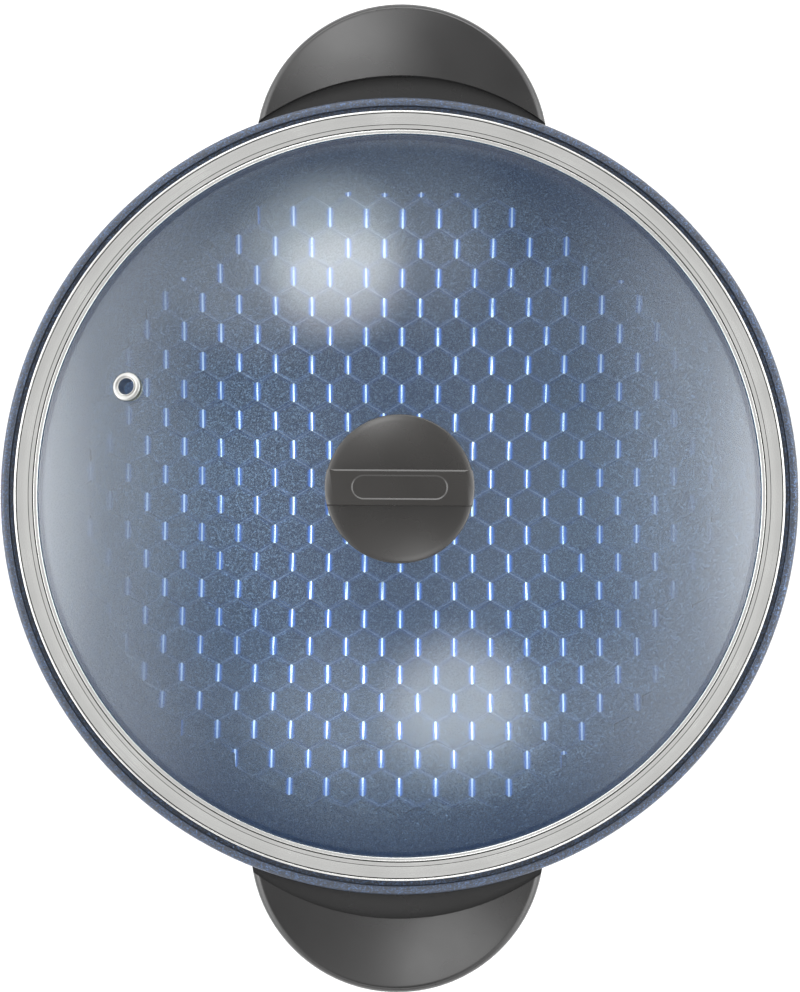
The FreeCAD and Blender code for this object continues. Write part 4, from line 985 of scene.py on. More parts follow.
@dataclass
class Honeycomb:
    """The raised honeycomb in the bowl: one cell, copied over a lattice and laid on the bowl's curve."""

    bowl: Bowl
    pitch: float = 17.49
    row: float = 13.70
    height: float = 0.42
    lift: float = 0.06
    offset: Point = (0.7, -1.4)
    fade_start: float = 118.0
    fade_end: float = 149.0
    side_fade: Point = (90.0, 140.0)
    side_fall: float = 0.75
    apex: float = 0.35
    margin: float = 3.0
    sink: float = 0.5
    thickness: float = 0.4

    # how far each ring lies inside the last one, and how high it stands as a share of the crest
    RINGS = ((0.07, 0.94), (0.4, 0.27), (0.7, 0.06), (0.9, 0.0), (2.6, 0.0))

    def cell(self) -> Piece:
        """One cell: a hexagon stretched to the pitch, its wall stepped down to the floor by insets. The wall
        sinks towards the cell's top and bottom corners, so that its slanting sides are slighter."""
        deselect()
        # a regular hexagon with upright sides is 3 / 2 of its radius from row to row
        radius = self.row * 2 / 3
        bpy.ops.mesh.primitive_circle_add(
            vertices=6, radius=radius * MM, fill_type="NGON", location=(0, 0, self.height * MM)
        )
        piece = bpy.context.object
        bpy.ops.object.transform_apply(location=True)
        bpy.ops.object.mode_set(mode="EDIT")
        level = 1.0
        for width, share in self.RINGS:
            bpy.ops.mesh.inset(thickness=width * MM, depth=(share - level) * self.height * MM)
            level = share
        bpy.ops.mesh.poke()
        bpy.ops.object.mode_set(mode="OBJECT")
        for vertex in piece.data.vertices:
            if abs(vertex.co.x) < SAME_PLACE:
                vertex.co.z *= self.apex
        # the circle starts at its top corner, so its upright sides lie left and right
        piece.scale.x = self.pitch / (radius * math.sqrt(3))
        return seat(piece)

    def lattice(self) -> Piece:
        """Copies the cell over the bowl's width, in rows that step half a cell."""
        count_x = math.ceil(self.fade_end / self.pitch) * 2 + 2
        count_y = math.ceil(self.fade_end / self.row / 2) * 2 + 2
        rows = []
        for step in (0, 1):
            piece = self.cell()
            for count, offset in ((count_x, (self.pitch, 0, 0)), (count_y, (0, self.row * 2, 0))):
                array = piece.modifiers.new("rows", "ARRAY")
                array.count, array.use_relative_offset, array.use_constant_offset = count, False, True
                array.constant_offset_displace = Vector(offset) * MM
                apply(piece, array)
            piece.location = (
                ((step - count_x + 2) * self.pitch / 2 + self.offset[0]) * MM,
                ((step - count_y + 1) * self.row + self.offset[1]) * MM,
                0,
            )
            rows.append(seat(piece))
        return join("honeycomb_relief", *rows)

    def lay(self, point: Vector) -> Vector:
        """Lays a point of the flat lattice on the bowl's curve, with the relief fading outwards.

        Args:
            point: a place on the flat lattice, whose height is the relief's, in metres.

        Returns:
            Its place on the bowl.
        """
        reach = math.hypot(point.x, point.y) / MM
        middle, curve = self.bowl.middle, self.bowl.curve
        share = min(max((self.fade_end - reach) / (self.fade_end - self.fade_start), 0.0), 1.0)
        start, end = self.side_fade
        aside = min(max((abs(point.x) / MM - start) / (end - start), 0.0), 1.0)
        fade = share * share * (3 - 2 * share) * (1 - self.side_fall * aside)
        over = point.z / MM * fade + self.lift - (self.sink if reach > self.fade_end + self.margin / 2 else 0)
        level = middle - math.sqrt(curve**2 - min(reach, curve) ** 2)
        foot = Vector((point.x / MM, point.y / MM, level))
        inward = (Vector((0, 0, middle)) - foot).normalized()
        return (foot + inward * over) * MM

    def build(self) -> Piece:
        """Lays the lattice in the bowl and gives it a thickness into the wall."""
        piece = self.lattice()
        limit = (self.fade_end + self.margin) * MM
        bpy.ops.object.mode_set(mode="EDIT")
        bpy.ops.mesh.select_mode(type="FACE")
        bpy.ops.mesh.select_all(action="DESELECT")
        bpy.ops.object.mode_set(mode="OBJECT")
        for face in piece.data.polygons:
            face.select = math.hypot(*face.center[:2]) > limit
        bpy.ops.object.mode_set(mode="EDIT")
        bpy.ops.mesh.delete(type="FACE")
        close_up()
        heights = [vertex.co.z / MM / self.height for vertex in piece.data.vertices]
        crest = piece.data.attributes.new("crest", "FLOAT", "POINT")
        crest.data.foreach_set("value", heights)
        # which faces are walls that run up and down the pan, where the coating's highlight is painted
        facing = [float(abs(face.normal.x) > 2 * abs(face.normal.y)) for face in piece.data.polygons]
        upright = piece.data.attributes.new("upright", "FLOAT", "FACE")
        upright.data.foreach_set("value", facing)
        for vertex in piece.data.vertices:
            vertex.co = self.lay(vertex.co)
        solid = piece.modifiers.new("thickness", "SOLIDIFY")
        solid.thickness, solid.offset = self.thickness * MM, -1
        apply(piece, solid)
        soften(piece, 0, angle=60)
        return piece

    def dress(self) -> None:
        """Coats the relief like the bowl, with highlights painted on its crests."""
        dress(self.build(), RELIEF, "root", "coated_aluminium")


@dataclass
class Handle:
    """A moulded side handle: a crowned half disc with a crescent recess beside the flange, a screw tongue
    under the lug and a ribbed hollow for the fingers. It is made at the rear, about its own centre."""

    side: Side
    bowl: Bowl
    radius: float = 70.0
    inset: float = 23.4
    drop: float = 9.0
    depth: float = 26.0
    crown_radius: float = 340.0
    edge: float = 4.0
    # how far inside its round the crown starts, as a share of the round
    edge_lead: float = 0.2
    chamfer: float = 2.5
    shoulder_inset: float = 13.0
    tongue_width: float = 68.0
    tongue_gap: float = 1.7
    recess_radius: float = 119.0
    recess_width: float = 11.5
    wall: float = 3.0
    grip_margin: float = 6.0
    grip_roof: float = 10.0
    rib: float = 2.4
    rib_spacing: float = 22.0
    rib_edge: float = 0.3
    screw_spacing: float = 40.0
    screw_inset: float = 8.0
    screw_recess: float = 4.1
    screw_sink: float = 3.9
    screw_bore: float = 2.3
    screw_depth: float = 15.0
    pocket_gap: float = 0.6
    soft_edge: float = 0.8
    # how far large faces lead the shading, where 50 is not at all and 100 is wholly
    even_weight: int = 80

    @property
    def label(self) -> str:
        """The handle's name."""
        return f"{self.side.name.lower()}_handle"

    def body(self, top: float, bottom: float) -> Piece:
        """The crowned disc that the handle is cut from."""
        reach = self.radius - self.edge
        crown_middle = top - self.crown_radius
        edge_middle = crown_middle + math.sqrt((self.crown_radius - self.edge) ** 2 - reach**2)
        lean = math.degrees(math.asin(reach / (self.crown_radius - self.edge)))
        profile = [
            (0, bottom),
            (self.radius - self.chamfer, bottom),
            (self.radius, bottom + self.chamfer),
            *arc((reach, edge_middle), self.edge, 0, 90 - lean, 10),
            *crown(crown_middle, self.crown_radius, reach - self.edge * self.edge_lead, 0, 12),
        ]
        return lathe(f"{self.label}_moulding", profile, 160)

    def build(self) -> Piece:
        """Cuts the crowned disc to the bowl, hollows it and adds the ribs."""
        bowl = self.bowl
        top = bowl.flange_top - self.drop
        bottom = top - self.depth
        lug_bottom = bowl.flange_top - bowl.lug_depth
        centre = bowl.flange_radius - self.inset
        piece = self.body(top, bottom)
        beyond = self.radius * 2
        shoulder = bowl.flange_radius - self.shoulder_inset - centre
        half = self.tongue_width / 2
        near = bowl.reach(lug_bottom) + self.tongue_gap
        swing = math.degrees(math.asin(half / near))
        throat = [
            (-beyond, shoulder),
            (-beyond, -beyond),
            (beyond, -beyond),
            (beyond, shoulder),
            (half, shoulder),
            *arc((0, -centre), near, 90 - swing, 90 + swing, 24),
            (-half, shoulder),
        ]
        combine(piece, slab("throat", throat, bottom - 1, top + 1), Join.CUT)
        recess_y = bowl.flange_radius + self.recess_width - self.recess_radius - centre
        recess = [(x, recess_y + y) for x, y in arc((0, 0), self.recess_radius, 0, 360, 240)[:-1]]
        combine(piece, slab("recess", recess, lug_bottom, top + 1), Join.CUT)

        hollow = self.radius - self.grip_margin
        far = self.recess_radius + self.wall
        meet_y = (far**2 - hollow**2 - recess_y**2) / (-2 * recess_y)
        meet_x = math.sqrt(hollow**2 - meet_y**2)
        start = math.degrees(math.atan2(meet_y, meet_x))
        swing = math.degrees(math.asin(meet_x / far))
        ceiling = top - self.grip_roof
        outline = [
            *arc((0, 0), hollow, start, 180 - start, 48),
            *arc((0, recess_y), far, 90 + swing, 90 - swing, 48)[1:-1],
        ]
        combine(piece, slab("hollow", outline, bottom - 1, ceiling), Join.CUT)
        screw_y = bowl.mouth + bowl.lug_reach - self.screw_inset - centre
        near = self.recess_radius - self.wall
        ledge_y = screw_y + self.screw_recess * 2 - self.pocket_gap
        swing = math.degrees(math.acos((ledge_y - recess_y) / near))
        outline = arc((0, recess_y), near, 90 - swing, 90 + swing, 32)
        combine(piece, slab("pocket", outline, bottom - 1, lug_bottom - self.wall), Join.CUT)
        for x in (-1, 1):
            place = Vector((x * self.screw_spacing / 2, screw_y, bottom - 1))
            for name, depth, radius in (
                ("head", self.screw_sink, self.screw_recess),
                ("shank", self.screw_depth, self.screw_bore),
            ):
                combine(piece, rod(name, place, place + Vector((0, 0, depth)), radius), Join.CUT)
        soften(piece, self.soft_edge, 3, 35)
        # the rounds would tint the large flat tops beside the recess, so large faces lead the shading
        even = piece.modifiers.new("even_shading", "WEIGHTED_NORMAL")
        even.keep_sharp, even.weight = True, self.even_weight
        apply(piece, even)
        ribs = []
        for x in (-self.rib_spacing, 0.0, self.rib_spacing):
            low, high = x - self.rib / 2, x + self.rib / 2
            start = math.sqrt(far**2 - high**2) + recess_y - self.wall / 2
            end = math.sqrt(hollow**2 - x**2) + 1
            outline = [(low, start), (high, start), (high, end), (low, end)]
            rib = slab("rib", outline, bottom + self.wall, ceiling + 1)
            soften(rib, self.rib_edge)
            ribs.append(rib)
        piece = join(f"{self.label}_moulding", piece, *ribs)
        turn = 0.0 if self.side is Side.REAR else math.pi
        piece.matrix_world = Matrix.Rotation(turn, 4, "Z") @ Matrix.Translation((0, centre * MM, 0))
        return seat(piece)

    def dress(self) -> None:
        """Gives the handle its phenolic skin."""
        dress(self.build(), PHENOLIC, "root", "black_moulding", self.label)


@dataclass
class Lid:
    """The glass dome, the steel band rolled round its edge and the steam vent."""

    bowl: Bowl
    glass_radius: float = reach_of("lid_glass", 0)
    dome_top: float = reach_of("lid_glass", 2)
    glass_seat: float = foot_of("lid_glass", 2)
    band_radius: float = reach_of("lid_rim", 0)
    wall: float = 4.0
    flat: float = 6.0
    glass_edge: float = 0.6
    gap: float = 0.3
    hem: float = 0.7
    hem_width: float = 2.1
    hem_rounds: Point = (0.7, 0.4)
    seam: float = 0.45
    seam_floor: float = 0.15
    strip_width: float = 1.75
    # how far below the crest the strip lies, at its outer and its inner edge
    strip_drop: Point = (0.8, 0.95)
    # the groove between the strip and the crown: its depth below the crest and where its floor lies
    groove_depth: float = 1.1
    groove_floor: Point = (0.03, 0.17)
    groove_width: float = 0.2
    # how far beyond the strip the groove's line of painted shade lies, and half its width
    groove_shade_line: Point = (0.1, 0.12)
    crest: float = 1.6
    # the crowned part: its radius and how far it leans inwards, in degrees
    crown_radius: float = 38.4
    inward: float = 8.0
    # the groove beside the outer roll
    roll_groove_depth: float = 0.9
    roll_groove_floor: Point = (0.05, 0.35)
    # the line of painted shade in that groove: how far beyond the crown it lies, and half its width
    roll_groove_shade_line: Point = (0.2, 0.2)
    roll: float = 0.55
    roll_drop: float = 0.1
    foot: float = 4.0
    knob_hole: float = 3.5
    vent_inset: float = 33.5
    vent_bearing: float = 159.0
    vent_bore: float = 3.9
    eyelet_wall: float = 0.7
    eyelet_flange: float = 7.0
    eyelet_height: float = 2.3
    eyelet_sheet: float = 0.6
    eyelet_lip: float = 0.35
    eyelet_foot_round: float = 0.3
    gasket_radius: float = 6.2
    gasket_height: float = 0.8

    @property
    def reach(self) -> float:
        """Where the dome meets the flat edge of the glass."""
        return self.glass_radius - self.flat

    @property
    def flat_top(self) -> float:
        """Height of the glass's flat edge."""
        return self.glass_seat + self.wall

    @property
    def curve(self) -> float:
        """Radius of the dome's outer face."""
        rise = self.dome_top - self.flat_top
        return (self.reach**2 + rise**2) / (2 * rise)

    @property
    def middle(self) -> float:
        """Height of the dome's centre."""
        return self.dome_top - self.curve

    def vent_place(self) -> Matrix:
        """Where the vent stands on the dome, square to the glass."""
        bearing = math.radians(self.vent_bearing)
        out = self.reach - self.vent_inset
        lean = math.asin(out / self.curve)
        height = self.middle + self.curve * math.cos(lean)
        foot = Vector((out * math.cos(bearing), out * math.sin(bearing), height))
        axis = Vector((-math.sin(bearing), math.cos(bearing), 0))
        return Matrix.Translation(foot * MM) @ Matrix.Rotation(lean, 4, axis)

    def glass(self) -> Piece:
        """Turns the dome and drills it for the knob and the vent."""
        inner = self.curve - self.wall
        end = math.sqrt(inner**2 - (self.glass_seat - self.middle) ** 2)
        turn = self.glass_edge
        profile = [
            *crown(self.middle, inner, 0, end, 40),
            *arc((self.glass_radius - turn, self.glass_seat + turn), turn, -90, 0, 3),
            *arc((self.glass_radius - turn, self.flat_top - turn), turn, 0, 90, 3),
            *crown(self.middle, self.curve, self.reach, 0, 40),
        ]
        piece = lathe("glass_dome", profile, 192)
        deep = Vector((0, 0, self.wall * 3))
        top = Vector((0, 0, self.dome_top))
        combine(piece, rod("knob_hole", top - deep, top + Vector((0, 0, 1)), self.knob_hole), Join.CUT)
        drill = rod("vent_hole", -deep, deep, self.vent_bore + self.eyelet_wall)
        drill.matrix_world = self.vent_place()
        combine(piece, seat(drill), Join.CUT)
        soften(piece, 0, angle=20)
        return piece

    @property
    def steps(self) -> tuple[float, float, float, float]:
        """Radii where the band's hem ends, its strip starts and ends, and its crowned part ends."""
        hem_end = self.reach + self.gap + self.hem_width
        strip_end = hem_end + self.seam + self.strip_width
        end = strip_end + self.groove_width + self.crown_radius * math.sin(math.radians(self.inward))
        return hem_end, hem_end + self.seam, strip_end, end

    def band(self) -> Piece:
        """Rolls the band: hem on the glass, seam, strip, crowned band, groove and outer roll."""
        inner = self.reach + self.gap
        hem_end, strip, strip_end, end = self.steps
        base, hem_top, top = self.flat_top, self.flat_top + self.hem, self.flat_top + self.crest
        low = self.bowl.ledge_height
        foot = self.glass_radius - self.foot
        roll, radius = self.roll, self.crown_radius
        seam_floor = base + self.seam_floor
        groove, roll_groove = top - self.groove_depth, top - self.roll_groove_depth
        outer_drop, inner_drop = self.strip_drop
        inner_round, outer_round = self.hem_rounds
        profile = [
            (foot, low),
            (self.band_radius - roll, low),
            *arc((self.band_radius - roll, low + roll), roll, -90, 0, 4),
            *arc((self.band_radius - roll, top - roll - self.roll_drop), roll, 0, 150, 9),
            *((end + out, roll_groove) for out in self.roll_groove_floor[::-1]),
            *arc((end, top - radius), radius, 90, 90 + self.inward, 12),
            *((strip_end + out, groove) for out in self.groove_floor[::-1]),
            (strip_end, top - outer_drop),
            (strip, top - inner_drop),
            (strip, seam_floor),
            (hem_end, seam_floor),
            *arc((hem_end - outer_round, hem_top - outer_round), outer_round, 0, 90, 4),
            *arc((inner + inner_round, hem_top - inner_round), inner_round, 90, 180, 6),
            (inner, base),
            (self.glass_radius, base),
            (self.glass_radius, self.glass_seat),
            (foot, self.glass_seat),
            (foot, low),
        ]
        piece = lathe("rolled_steel_band", profile, 256)
        soften(piece, 0, angle=35)
        return piece

    def eyelet(self) -> Piece:
        """Turns the eyelet: a rolled ring on the glass, the tube and the flange under the gasket."""
        bore, sheet = self.vent_bore, self.eyelet_sheet
        tube = bore + self.eyelet_wall
        under = -(self.wall + self.gasket_height)
        lip, turn = self.eyelet_lip, self.eyelet_foot_round
        half = (self.eyelet_flange - bore - lip) / 2
        middle, rise = self.eyelet_flange - half, self.eyelet_height / 2
        roll = [(middle + half * x, rise + rise * y) for x, y in arc((0, 0), 1, -90, 140, 22)]
        profile = [
            (bore, under - sheet),
            *arc((self.gasket_radius - turn, under - turn), turn, -90, 90, 4),
            (tube, under),
            (tube, 0),
            *roll,
            *arc((bore + lip, roll[-1][1]), lip, 60, 180, 5),
            (bore, under - sheet),
        ]
        piece = lathe("steam_vent_eyelet", profile, 64)
        soften(piece, 0, angle=40)
        piece.matrix_world = self.vent_place()
        return seat(piece)

    def dress(self) -> None:
        """Gives the lid its glass and steel."""
        dress(self.glass(), GLASS, "lid", "tempered_glass", "lid_glass")
        hem_end, strip, strip_end, end = self.steps
        # the painted shade in the seam and in each groove, by its middle and half its width
        lines = (strip_end, self.groove_shade_line), (end, self.roll_groove_shade_line)
        seams = ((hem_end + strip) / 2, self.seam / 2), *((edge + out, half) for edge, (out, half) in lines)
        dress(self.band(), replace(BAND_STEEL, seams=seams), "lid", "stainless", "lid_rim")
        dress(self.eyelet(), EYELET_STEEL, "lid", "stainless", "vent_eyelet")
        dress_copies("lid", ("vent_gasket", "vent_seal_ring", 0.0, SILICONE, "silicone"))


@dataclass
class Knob:
    """The lid's knob: a crowned cap on a stem, with a bar across it, and the metal under it."""

    radius: float = reach_of("knob_grip", 0)
    foot: float = foot_of("knob_grip", 2)
    top: float = reach_of("knob_grip", 2)
    stem: float = 15.0
    underside: float = 10.0
    hollow: float = 3.0
    edge: float = 4.5
    edge_round: float = 0.9
    edge_rise: float = 0.1
    # where the crown starts inside the edge, in rounds of the edge
    crown_start: float = 1.2
    foot_chamfer: Point = (0.6, 0.5)
    crown_radius: float = 130.0
    bar_width: float = 16.5
    bar_flat: float = 61.0
    bar_fall: float = 1.0
    bar_slope: float = 33.0
    bar_chamfer: float = 0.75
    end_chamfer: float = 0.9
    panel_length: float = 45.2
    panel_width: float = 11.6
    panel_depth: float = 0.7

    def cap(self) -> Piece:
        """Turns the cap and its stem."""
        under = self.foot + self.underside
        edge_top = under + self.edge
        middle = edge_top - math.sqrt(self.crown_radius**2 - self.radius**2)
        turn = self.edge_round
        across, upward = self.foot_chamfer
        profile = [
            (0, self.foot),
            (self.stem, self.foot),
            (self.stem, under - self.hollow),
            *arc((self.stem + self.hollow, under - self.hollow), self.hollow, 180, 90, 6),
            (self.radius - self.hollow, under),
            (self.radius - across, under + self.hollow / 2 - upward),
            (self.radius, under + self.hollow / 2),
            *arc((self.radius - turn, edge_top - turn + self.edge_rise), turn, 0, 70, 5),
            *crown(middle, self.crown_radius, self.radius - turn * self.crown_start, 0, 16),
        ]
        return lathe("knob_moulding", profile, 160)

    def bar(self) -> Piece:
        """Crosses the bar's side view, its end view and its rim, each with its chamfers."""
        low = self.foot + self.underside + self.hollow
        flat, half = self.bar_flat / 2, self.bar_width / 2
        slope = math.tan(math.radians(self.bar_slope))
        side_view = [
            (-self.radius, low),
            (self.radius, low),
            (self.radius, self.top - self.bar_fall),
            (flat, self.top),
            (-flat, self.top),
            (-self.radius, self.top - self.bar_fall),
        ]
        piece = slab("bar", side_view, -half, half, Way.ALONG_Y)
        # how far both chamfers run on past the top: at the sides in their widths, at the rim in millimetres
        run = 8
        drop = self.bar_chamfer * slope
        end_view = [
            (-half, low - 1),
            (half, low - 1),
            (half, self.top - drop),
            (half - self.bar_chamfer, self.top),
            (half - (run + 1) * self.bar_chamfer, self.top + drop * run),
            (-half, self.top + drop * run),
        ]
        combine(piece, slab("end_view", end_view, -self.radius - 1, self.radius + 1, Way.ALONG_X), Join.KEEP)
        rim = self.top - self.bar_fall - self.end_chamfer * slope / 2
        over = rim + run * slope
        profile = [(0, low - 1), (self.radius, low - 1), (self.radius, rim)]
        profile += [(self.radius - run, over), (0, over)]
        combine(piece, lathe("rim", profile, 160), Join.KEEP)
        return piece

    def panel(self) -> Piece:
        """What sinks the shallow bare panel in the bar's top, with slanting sides."""
        end = self.panel_width / 2
        straight = self.panel_length / 2 - end
        outline = [*arc((straight, 0), end, -90, 90, 16), *arc((-straight, 0), end, 90, 270, 16)]
        piece = slab("panel", outline, -self.panel_depth, 3)
        soften(piece, self.panel_depth - 0.01, 1, 60)
        piece.scale.z = math.tan(math.radians(self.bar_slope))
        piece.location.z = self.top * MM
        return seat(piece)

    def grip(self) -> Piece:
        """Unites cap and bar and sinks the panel."""
        piece = self.cap()
        combine(piece, self.bar(), Join.UNITE)
        combine(piece, self.panel(), Join.CUT)
        soften(piece, 0, angle=25)
        return piece

    def dress(self) -> None:
        """Gives the knob its phenolic skin, and its fittings their metal."""
        dress(self.grip(), KNOB_PHENOLIC, "lid", "black_moulding", "knob_grip")
        dress_copies(
            "lid",
            ("knob_collar", "turned_collar", 0.3, TURNED_STEEL, "stainless"),
            ("knob_seals", "knob_seal_rings", 0.2, SILICONE, "silicone"),
            ("knob_washer", "knob_load_washer", 0.15, TURNED_STEEL, "stainless"),
            ("knob_screw", "knob_fixing_screw", 0.2, ZINC, "stainless"),
        )


@dataclass
class Studio:
    """A pale floor, a soft studio sky and the camera over the object."""

    camera_distance: float = 4000.0
    camera_elevation: float = 87.3
    camera_roll: float = 0.36
    focal_length: float = 305.0
    sensor: float = 36.0
    shift: Point = (0.00045, -0.00105)
    # the nearest and the farthest place that the camera sees, in metres
    clip: Point = (0.05, 200.0)
    floor_size: float = 60.0
    aim: Vector = field(default_factory=lambda: Vector((0.0, 0.0, 150.0)))
    soft_boxes: tuple["SoftBox", ...] = field(
        default_factory=lambda: (
            SoftBox("soft_box_front", (130.0, -433.0, 800.0), 215.0, 3.2),
            SoftBox("soft_box_rear", (-104.0, 401.0, 600.0), 150.0, 3.4),
        )
    )

    def place_camera(self, target: Vector) -> None:
        """Hangs the camera over the flange, tipped a little towards the front."""
        data = bpy.data.cameras.new("camera")
        camera = bpy.data.objects.new("camera", data)
        bpy.context.scene.collection.objects.link(camera)
        data.lens, data.sensor_width = self.focal_length, self.sensor
        data.shift_x, data.shift_y = self.shift
        lift = math.radians(self.camera_elevation)
        back = Vector((0, -math.cos(lift), math.sin(lift)))
        camera.location = (target + back * self.camera_distance) * MM
        turn = (-back).to_track_quat("-Z", "Y").to_matrix().to_4x4()
        roll = Matrix.Rotation(math.radians(self.camera_roll), 4, "Z")
        camera.rotation_euler = (turn @ roll).to_euler()
        data.clip_start, data.clip_end = self.clip
        bpy.context.scene.camera = camera

    def lay_floor(self) -> None:
        """Lays the floor under the feet."""
        deselect()
        bpy.ops.mesh.primitive_plane_add(size=self.floor_size, location=(0, 0, 0))
        floor = bpy.context.object
        floor.name = "floor"
        floor.data.materials.append(material(PAPER))

    def light(self) -> None:
        """Paints the sky and hangs the soft boxes."""
        Sky().paint()
        for box in self.soft_boxes:
            box.hang(self.aim)


@dataclass(frozen=True)
class SoftBox:
    """A round soft light hung near the object. It fades to nothing at its rim and hides nothing."""

    name: str
    place: tuple[float, float, float]
    radius: float
    strength: float

    # where the light starts to fade, as a share of its radius
    FADE_START = 0.3

    def glow(self) -> bpy.types.Material:
        """A material that is clear, and glows on its front, most in the middle."""
        made = bpy.data.materials.new(self.name)
        tree = blank(made)
        place = add(tree, "TexCoord").outputs["Object"]
        away = add(tree, "VectorMath", {0: place}, operation="LENGTH").outputs["Value"]
        back = add(tree, "NewGeometry").outputs["Backfacing"]
        front = add(tree, "MapRange", (back, 0.0, 1.0, self.strength, 0.0)).outputs[0]
        start = self.radius * self.FADE_START * MM
        fade = add(tree, "MapRange", (away, start, self.radius * MM, front, 0.0), **SOFT).outputs[0]
        light = add(tree, "Emission", {"Color": linear(WHITE), "Strength": fade}).outputs[0]
        clear = add(tree, "BsdfTransparent").outputs[0]
        add(tree, "OutputMaterial", {"Surface": add(tree, "AddShader", {0: light, 1: clear}).outputs[0]})
        return made

    def hang(self, aim: Vector) -> None:
        """Hangs the light so that it faces a place."""
        deselect()
        place = Vector(self.place)
        turn = (aim - place).to_track_quat("Z", "Y").to_euler()
        bpy.ops.mesh.primitive_circle_add(
            vertices=64, radius=self.radius * MM, fill_type="NGON", location=place * MM, rotation=turn
        )
        card = bpy.context.object
        card.name = self.name
        card.data.materials.append(self.glow())
        card.visible_camera = False


@dataclass(frozen=True)
class Lobe:
    """One round soft light in the sky, whose strength falls off between two angles from its middle. All its
    angles are in degrees, its bearing from the first axis."""

    bearing: float
    elevation: float
    inner: float
    outer: float
    strength: float

    @property
    def way(self) -> Vector:
        """The direction it lies in."""
        bearing, lift = math.radians(self.bearing), math.radians(self.elevation)
        flat = math.cos(lift)
        return Vector((flat * math.cos(bearing), flat * math.sin(bearing), math.sin(lift)))


@dataclass(frozen=True)
class Panel:
    """One long soft light in the sky, on one side or on two. It grows stronger outwards, from a start to
    where it is whole, both as the reach along its way of a direction of length 1. It fades in between the
    two heights of its foot and out between those of its head, in degrees over the floor."""

    way: tuple[float, float, float]
    both: bool
    start: float
    whole: float
    strength: float
    foot: Point | None = None
    head: Point | None = None


@dataclass
class Sky:
    """The studio round the object, the same for every ray: white walls, a dim ceiling, long soft boxes at
    the sides and low down at the ends, and round lights."""

    walls: float = 1.0
    ceiling: float = 0.42
    wall_fade: Point = (8.0, 24.0)
    panels: tuple[Panel, ...] = (
        Panel((1, 0, 0), True, 0.02, 0.2, 0.18, foot=(60.0, 70.0)),
        Panel((1, 0, 0), True, 0.4, 0.75, 1.9, foot=(28.0, 34.0)),
        Panel((1, 0, 0), True, 0.7, 0.93, 8.6, foot=(28.0, 34.0)),
        Panel((1, 0, 0), True, 0.25, 0.6, 0.6, foot=(28.0, 34.0), head=(40.0, 54.0)),
        Panel((1, 0, 0), True, 0.6, 0.9, 3.0, head=(28.0, 34.0)),
        Panel((0, 1, 0), True, 0.25, 0.5, 0.4, foot=(43.0, 50.0)),
        Panel((0, 1, 0), False, 0.5, 0.85, 5.0, foot=(12.0, 18.0), head=(27.0, 33.0)),
        Panel((0, -1, 0), False, 0.5, 0.85, 1.8, foot=(12.0, 18.0), head=(27.0, 33.0)),
    )
    lobes: tuple[Lobe, ...] = (
        Lobe(0.0, 90.0, 12.0, 30.0, 0.24),
        Lobe(106.5, 53.5, 1.0, 12.0, 2.0),
        Lobe(121.0, 50.0, 1.0, 15.0, 1.1),
        Lobe(89.0, 51.0, 1.0, 15.0, 0.85),
        Lobe(-104.0, 59.0, 1.0, 15.0, 0.7),
        Lobe(-49.0, 52.0, 1.0, 15.0, 0.45),
    )

    def over(self, tree: Tree, up: Socket, heights: Point) -> Socket:
        """Goes from 0 to 1 between two heights in degrees, or from 1 to 0 where the second is the lower."""
        low, high = (math.sin(math.radians(height)) for height in heights)
        return add(tree, "MapRange", (up, low, high, 0.0, 1.0), **SOFT).outputs[0]

    def paint(self) -> None:
        """Fills the world's nodes."""
        world = bpy.data.worlds.new("studio")
        bpy.context.scene.world = world
        tree = blank(world)
        way = add(tree, "TexCoord").outputs["Generated"]
        way = add(tree, "VectorMath", {0: way}, operation="NORMALIZE").outputs[0]
        up = add(tree, "SeparateXYZ", (way,)).outputs[2]
        over = self.over(tree, up, self.wall_fade)
        level = add(tree, "Mix", {0: over, 2: self.walls, 3: self.ceiling}).outputs[0]
        for panel in self.panels:
            out = add(tree, "VectorMath", {0: way, 1: panel.way}, operation="DOT_PRODUCT").outputs["Value"]
            if panel.both:
                out = add(tree, "Math", {0: out}, operation="ABSOLUTE").outputs[0]
            rise = (out, panel.start, panel.whole, 0.0, panel.strength)
            glow = add(tree, "MapRange", rise, **SOFT).outputs[0]
            for edges in (panel.foot, panel.head and panel.head[::-1]):
                if edges:
                    share = self.over(tree, up, edges)
                    glow = add(tree, "Math", {0: glow, 1: share}, operation="MULTIPLY").outputs[0]
            level = add(tree, "Math", {0: level, 1: glow}, operation="ADD").outputs[0]
        for lobe in self.lobes:
            near = add(tree, "VectorMath", {0: way, 1: lobe.way}, operation="DOT_PRODUCT").outputs["Value"]
            edges = (math.cos(math.radians(angle)) for angle in (lobe.outer, lobe.inner))
            glow = add(tree, "MapRange", (near, *edges, 0.0, lobe.strength), **SOFT).outputs[0]
            level = add(tree, "Math", {0: level, 1: glow}, operation="ADD").outputs[0]
        back = add(tree, "Background", {"Color": linear(WHITE), "Strength": level})
        add(tree, "OutputWorld", {"Surface": back.outputs[0]})


@dataclass
class Base:
    """The moulded base, its feet and what is fixed inside it."""

    skirt_edge: float = 0.5

    def dress(self) -> None:
        """Dresses the base's pieces, from the skirt inwards."""
        dress_copies(
            "root",
            ("base_shell", "base_moulding", self.skirt_edge, NYLON, "black_moulding"),
            ("rubber_feet", "soft_feet", 0.6, RUBBER, "soft_rubber"),
            ("inlet_shroud", "inlet_moulding", 0.3, NYLON, "black_moulding"),
        )
        finish_nodes({
            "heating_element": SHEATH,
            "terminal_pins": ZINC,
            "base_screws": ZINC,
            "heat_shield": SHIELD,
            "earth_strap": ZINC,
            "handle_screws": ZINC,
        })


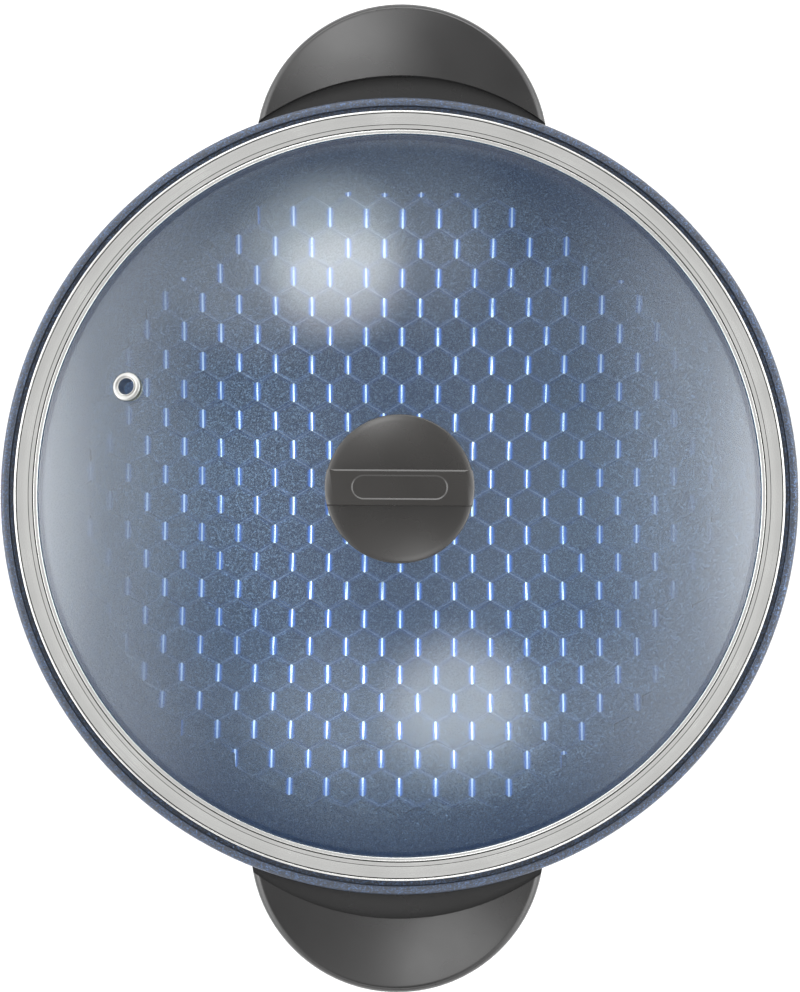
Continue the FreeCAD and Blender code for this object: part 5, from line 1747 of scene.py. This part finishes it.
@dataclass
class Controller:
    """The plug-in heat controller, with its dial, lamp and release trigger."""

    edge: float = 0.6
    dial_place: float = 141.02
    top: float = reach_of("controller_upper", 2)
    grip_top: float = reach_of("temperature_dial", 2)
    marks: int = 10
    mark_reach: Point = (21.3, 23.3)
    mark_width: float = 0.7
    # the bearing of the first mark and how far the scale runs from it, in degrees
    mark_start: float = 45.0
    mark_sweep: float = 270.0
    ink: float = 0.05
    pointer: float = 180.0
    pointer_reach: Point = (9.0, 16.0)

    def mark(self, reach: Point, angle: float, height: float) -> Piece:
        """One inked line that points at the dial's axis.

        Args:
            reach: how far from the axis it starts and ends, in millimetres.
            angle: its bearing in degrees.
            height: the height of the face that it is printed on.

        Returns:
            The line.
        """
        half = self.mark_width / 2
        outline = [(reach[0], -half), (reach[1], -half), (reach[1], half), (reach[0], half)]
        piece = slab("mark", outline, height - self.ink / 2, height + self.ink)
        turn = Matrix.Rotation(math.radians(angle), 4, "Z")
        piece.matrix_world = Matrix.Translation((self.dial_place * MM, 0, 0)) @ turn
        return seat(piece)

    def dress(self) -> None:
        """Dresses the housing, what it carries and what moves on it."""
        angles = [self.mark_start + self.mark_sweep * i / (self.marks - 1) for i in range(self.marks)]
        scale = join("dial_scale", *(self.mark(self.mark_reach, angle, self.top) for angle in angles))
        dress(scale, INK, "controller", "white_moulding")
        pointer = join("dial_pointer", self.mark(self.pointer_reach, self.pointer, self.grip_top))
        dress(pointer, INK, "dial", "white_moulding")
        dress_copies(
            "controller",
            ("controller_lower", "housing_lower", self.edge, NYLON, "black_moulding"),
            ("controller_upper", "housing_upper", self.edge, NYLON, "black_moulding"),
            ("cord_gland", "gland_moulding", 0.5, RUBBER, "soft_rubber"),
            ("contact_block", "contact_moulding", 0.3, THERMOSET, "white_moulding"),
            ("sensor_tube", "probe_tube", 0.2, TURNED_STEEL, "stainless"),
            ("indicator_lens", "lamp_lens", 0.2, AMBER, "amber_lens"),
        )
        dress_copies("dial", ("temperature_dial", "dial_moulding", 0.5, DIAL_ABS, "dial_moulding"))
        dress_copies("trigger", ("trigger_lever", "trigger_moulding", 0.4, DIAL_ABS, "dial_moulding"))
        finish_nodes({
            "controller_screws": ZINC,
            "contact_sleeves": BRASS,
            "earth_spring": SPRING,
            "thermostat_frame": ZINC,
            "switch_blades": BRASS,
            "indicator_lamp": LAMP_GLASS,
            "trigger_pin": ZINC,
            "trigger_spring": SPRING,
            "dial_spindle": BRASS,
        })


def finish_nodes(finishes: dict[str, Finish]) -> None:
    """Gives CAD nodes that stay as they are their own finish.

    Args:
        finishes: the finish of each node.
    """
    for node, finish in finishes.items():
        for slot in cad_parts[node].material_slots:
            slot.material = material(finish)
        log.info("%s: %s", node, finish.name)


def main() -> None:
    """Builds and dresses the wok, piece by piece, and sets up the studio."""
    bpy.context.scene.view_settings.view_transform = "Standard"
    bowl = Bowl()
    bowl.dress()
    Honeycomb(bowl).dress()
    for side in Side:
        Handle(side, bowl).dress()
    Lid(bowl).dress()
    Knob().dress()
    Base().dress()
    Controller().dress()
    finish_nodes({"knob_insert": BRASS})
    studio = Studio()
    studio.place_camera(Vector((0, 0, bowl.flange_top)))
    studio.lay_floor()
    studio.light()


if __name__ == "__main__":
    main()
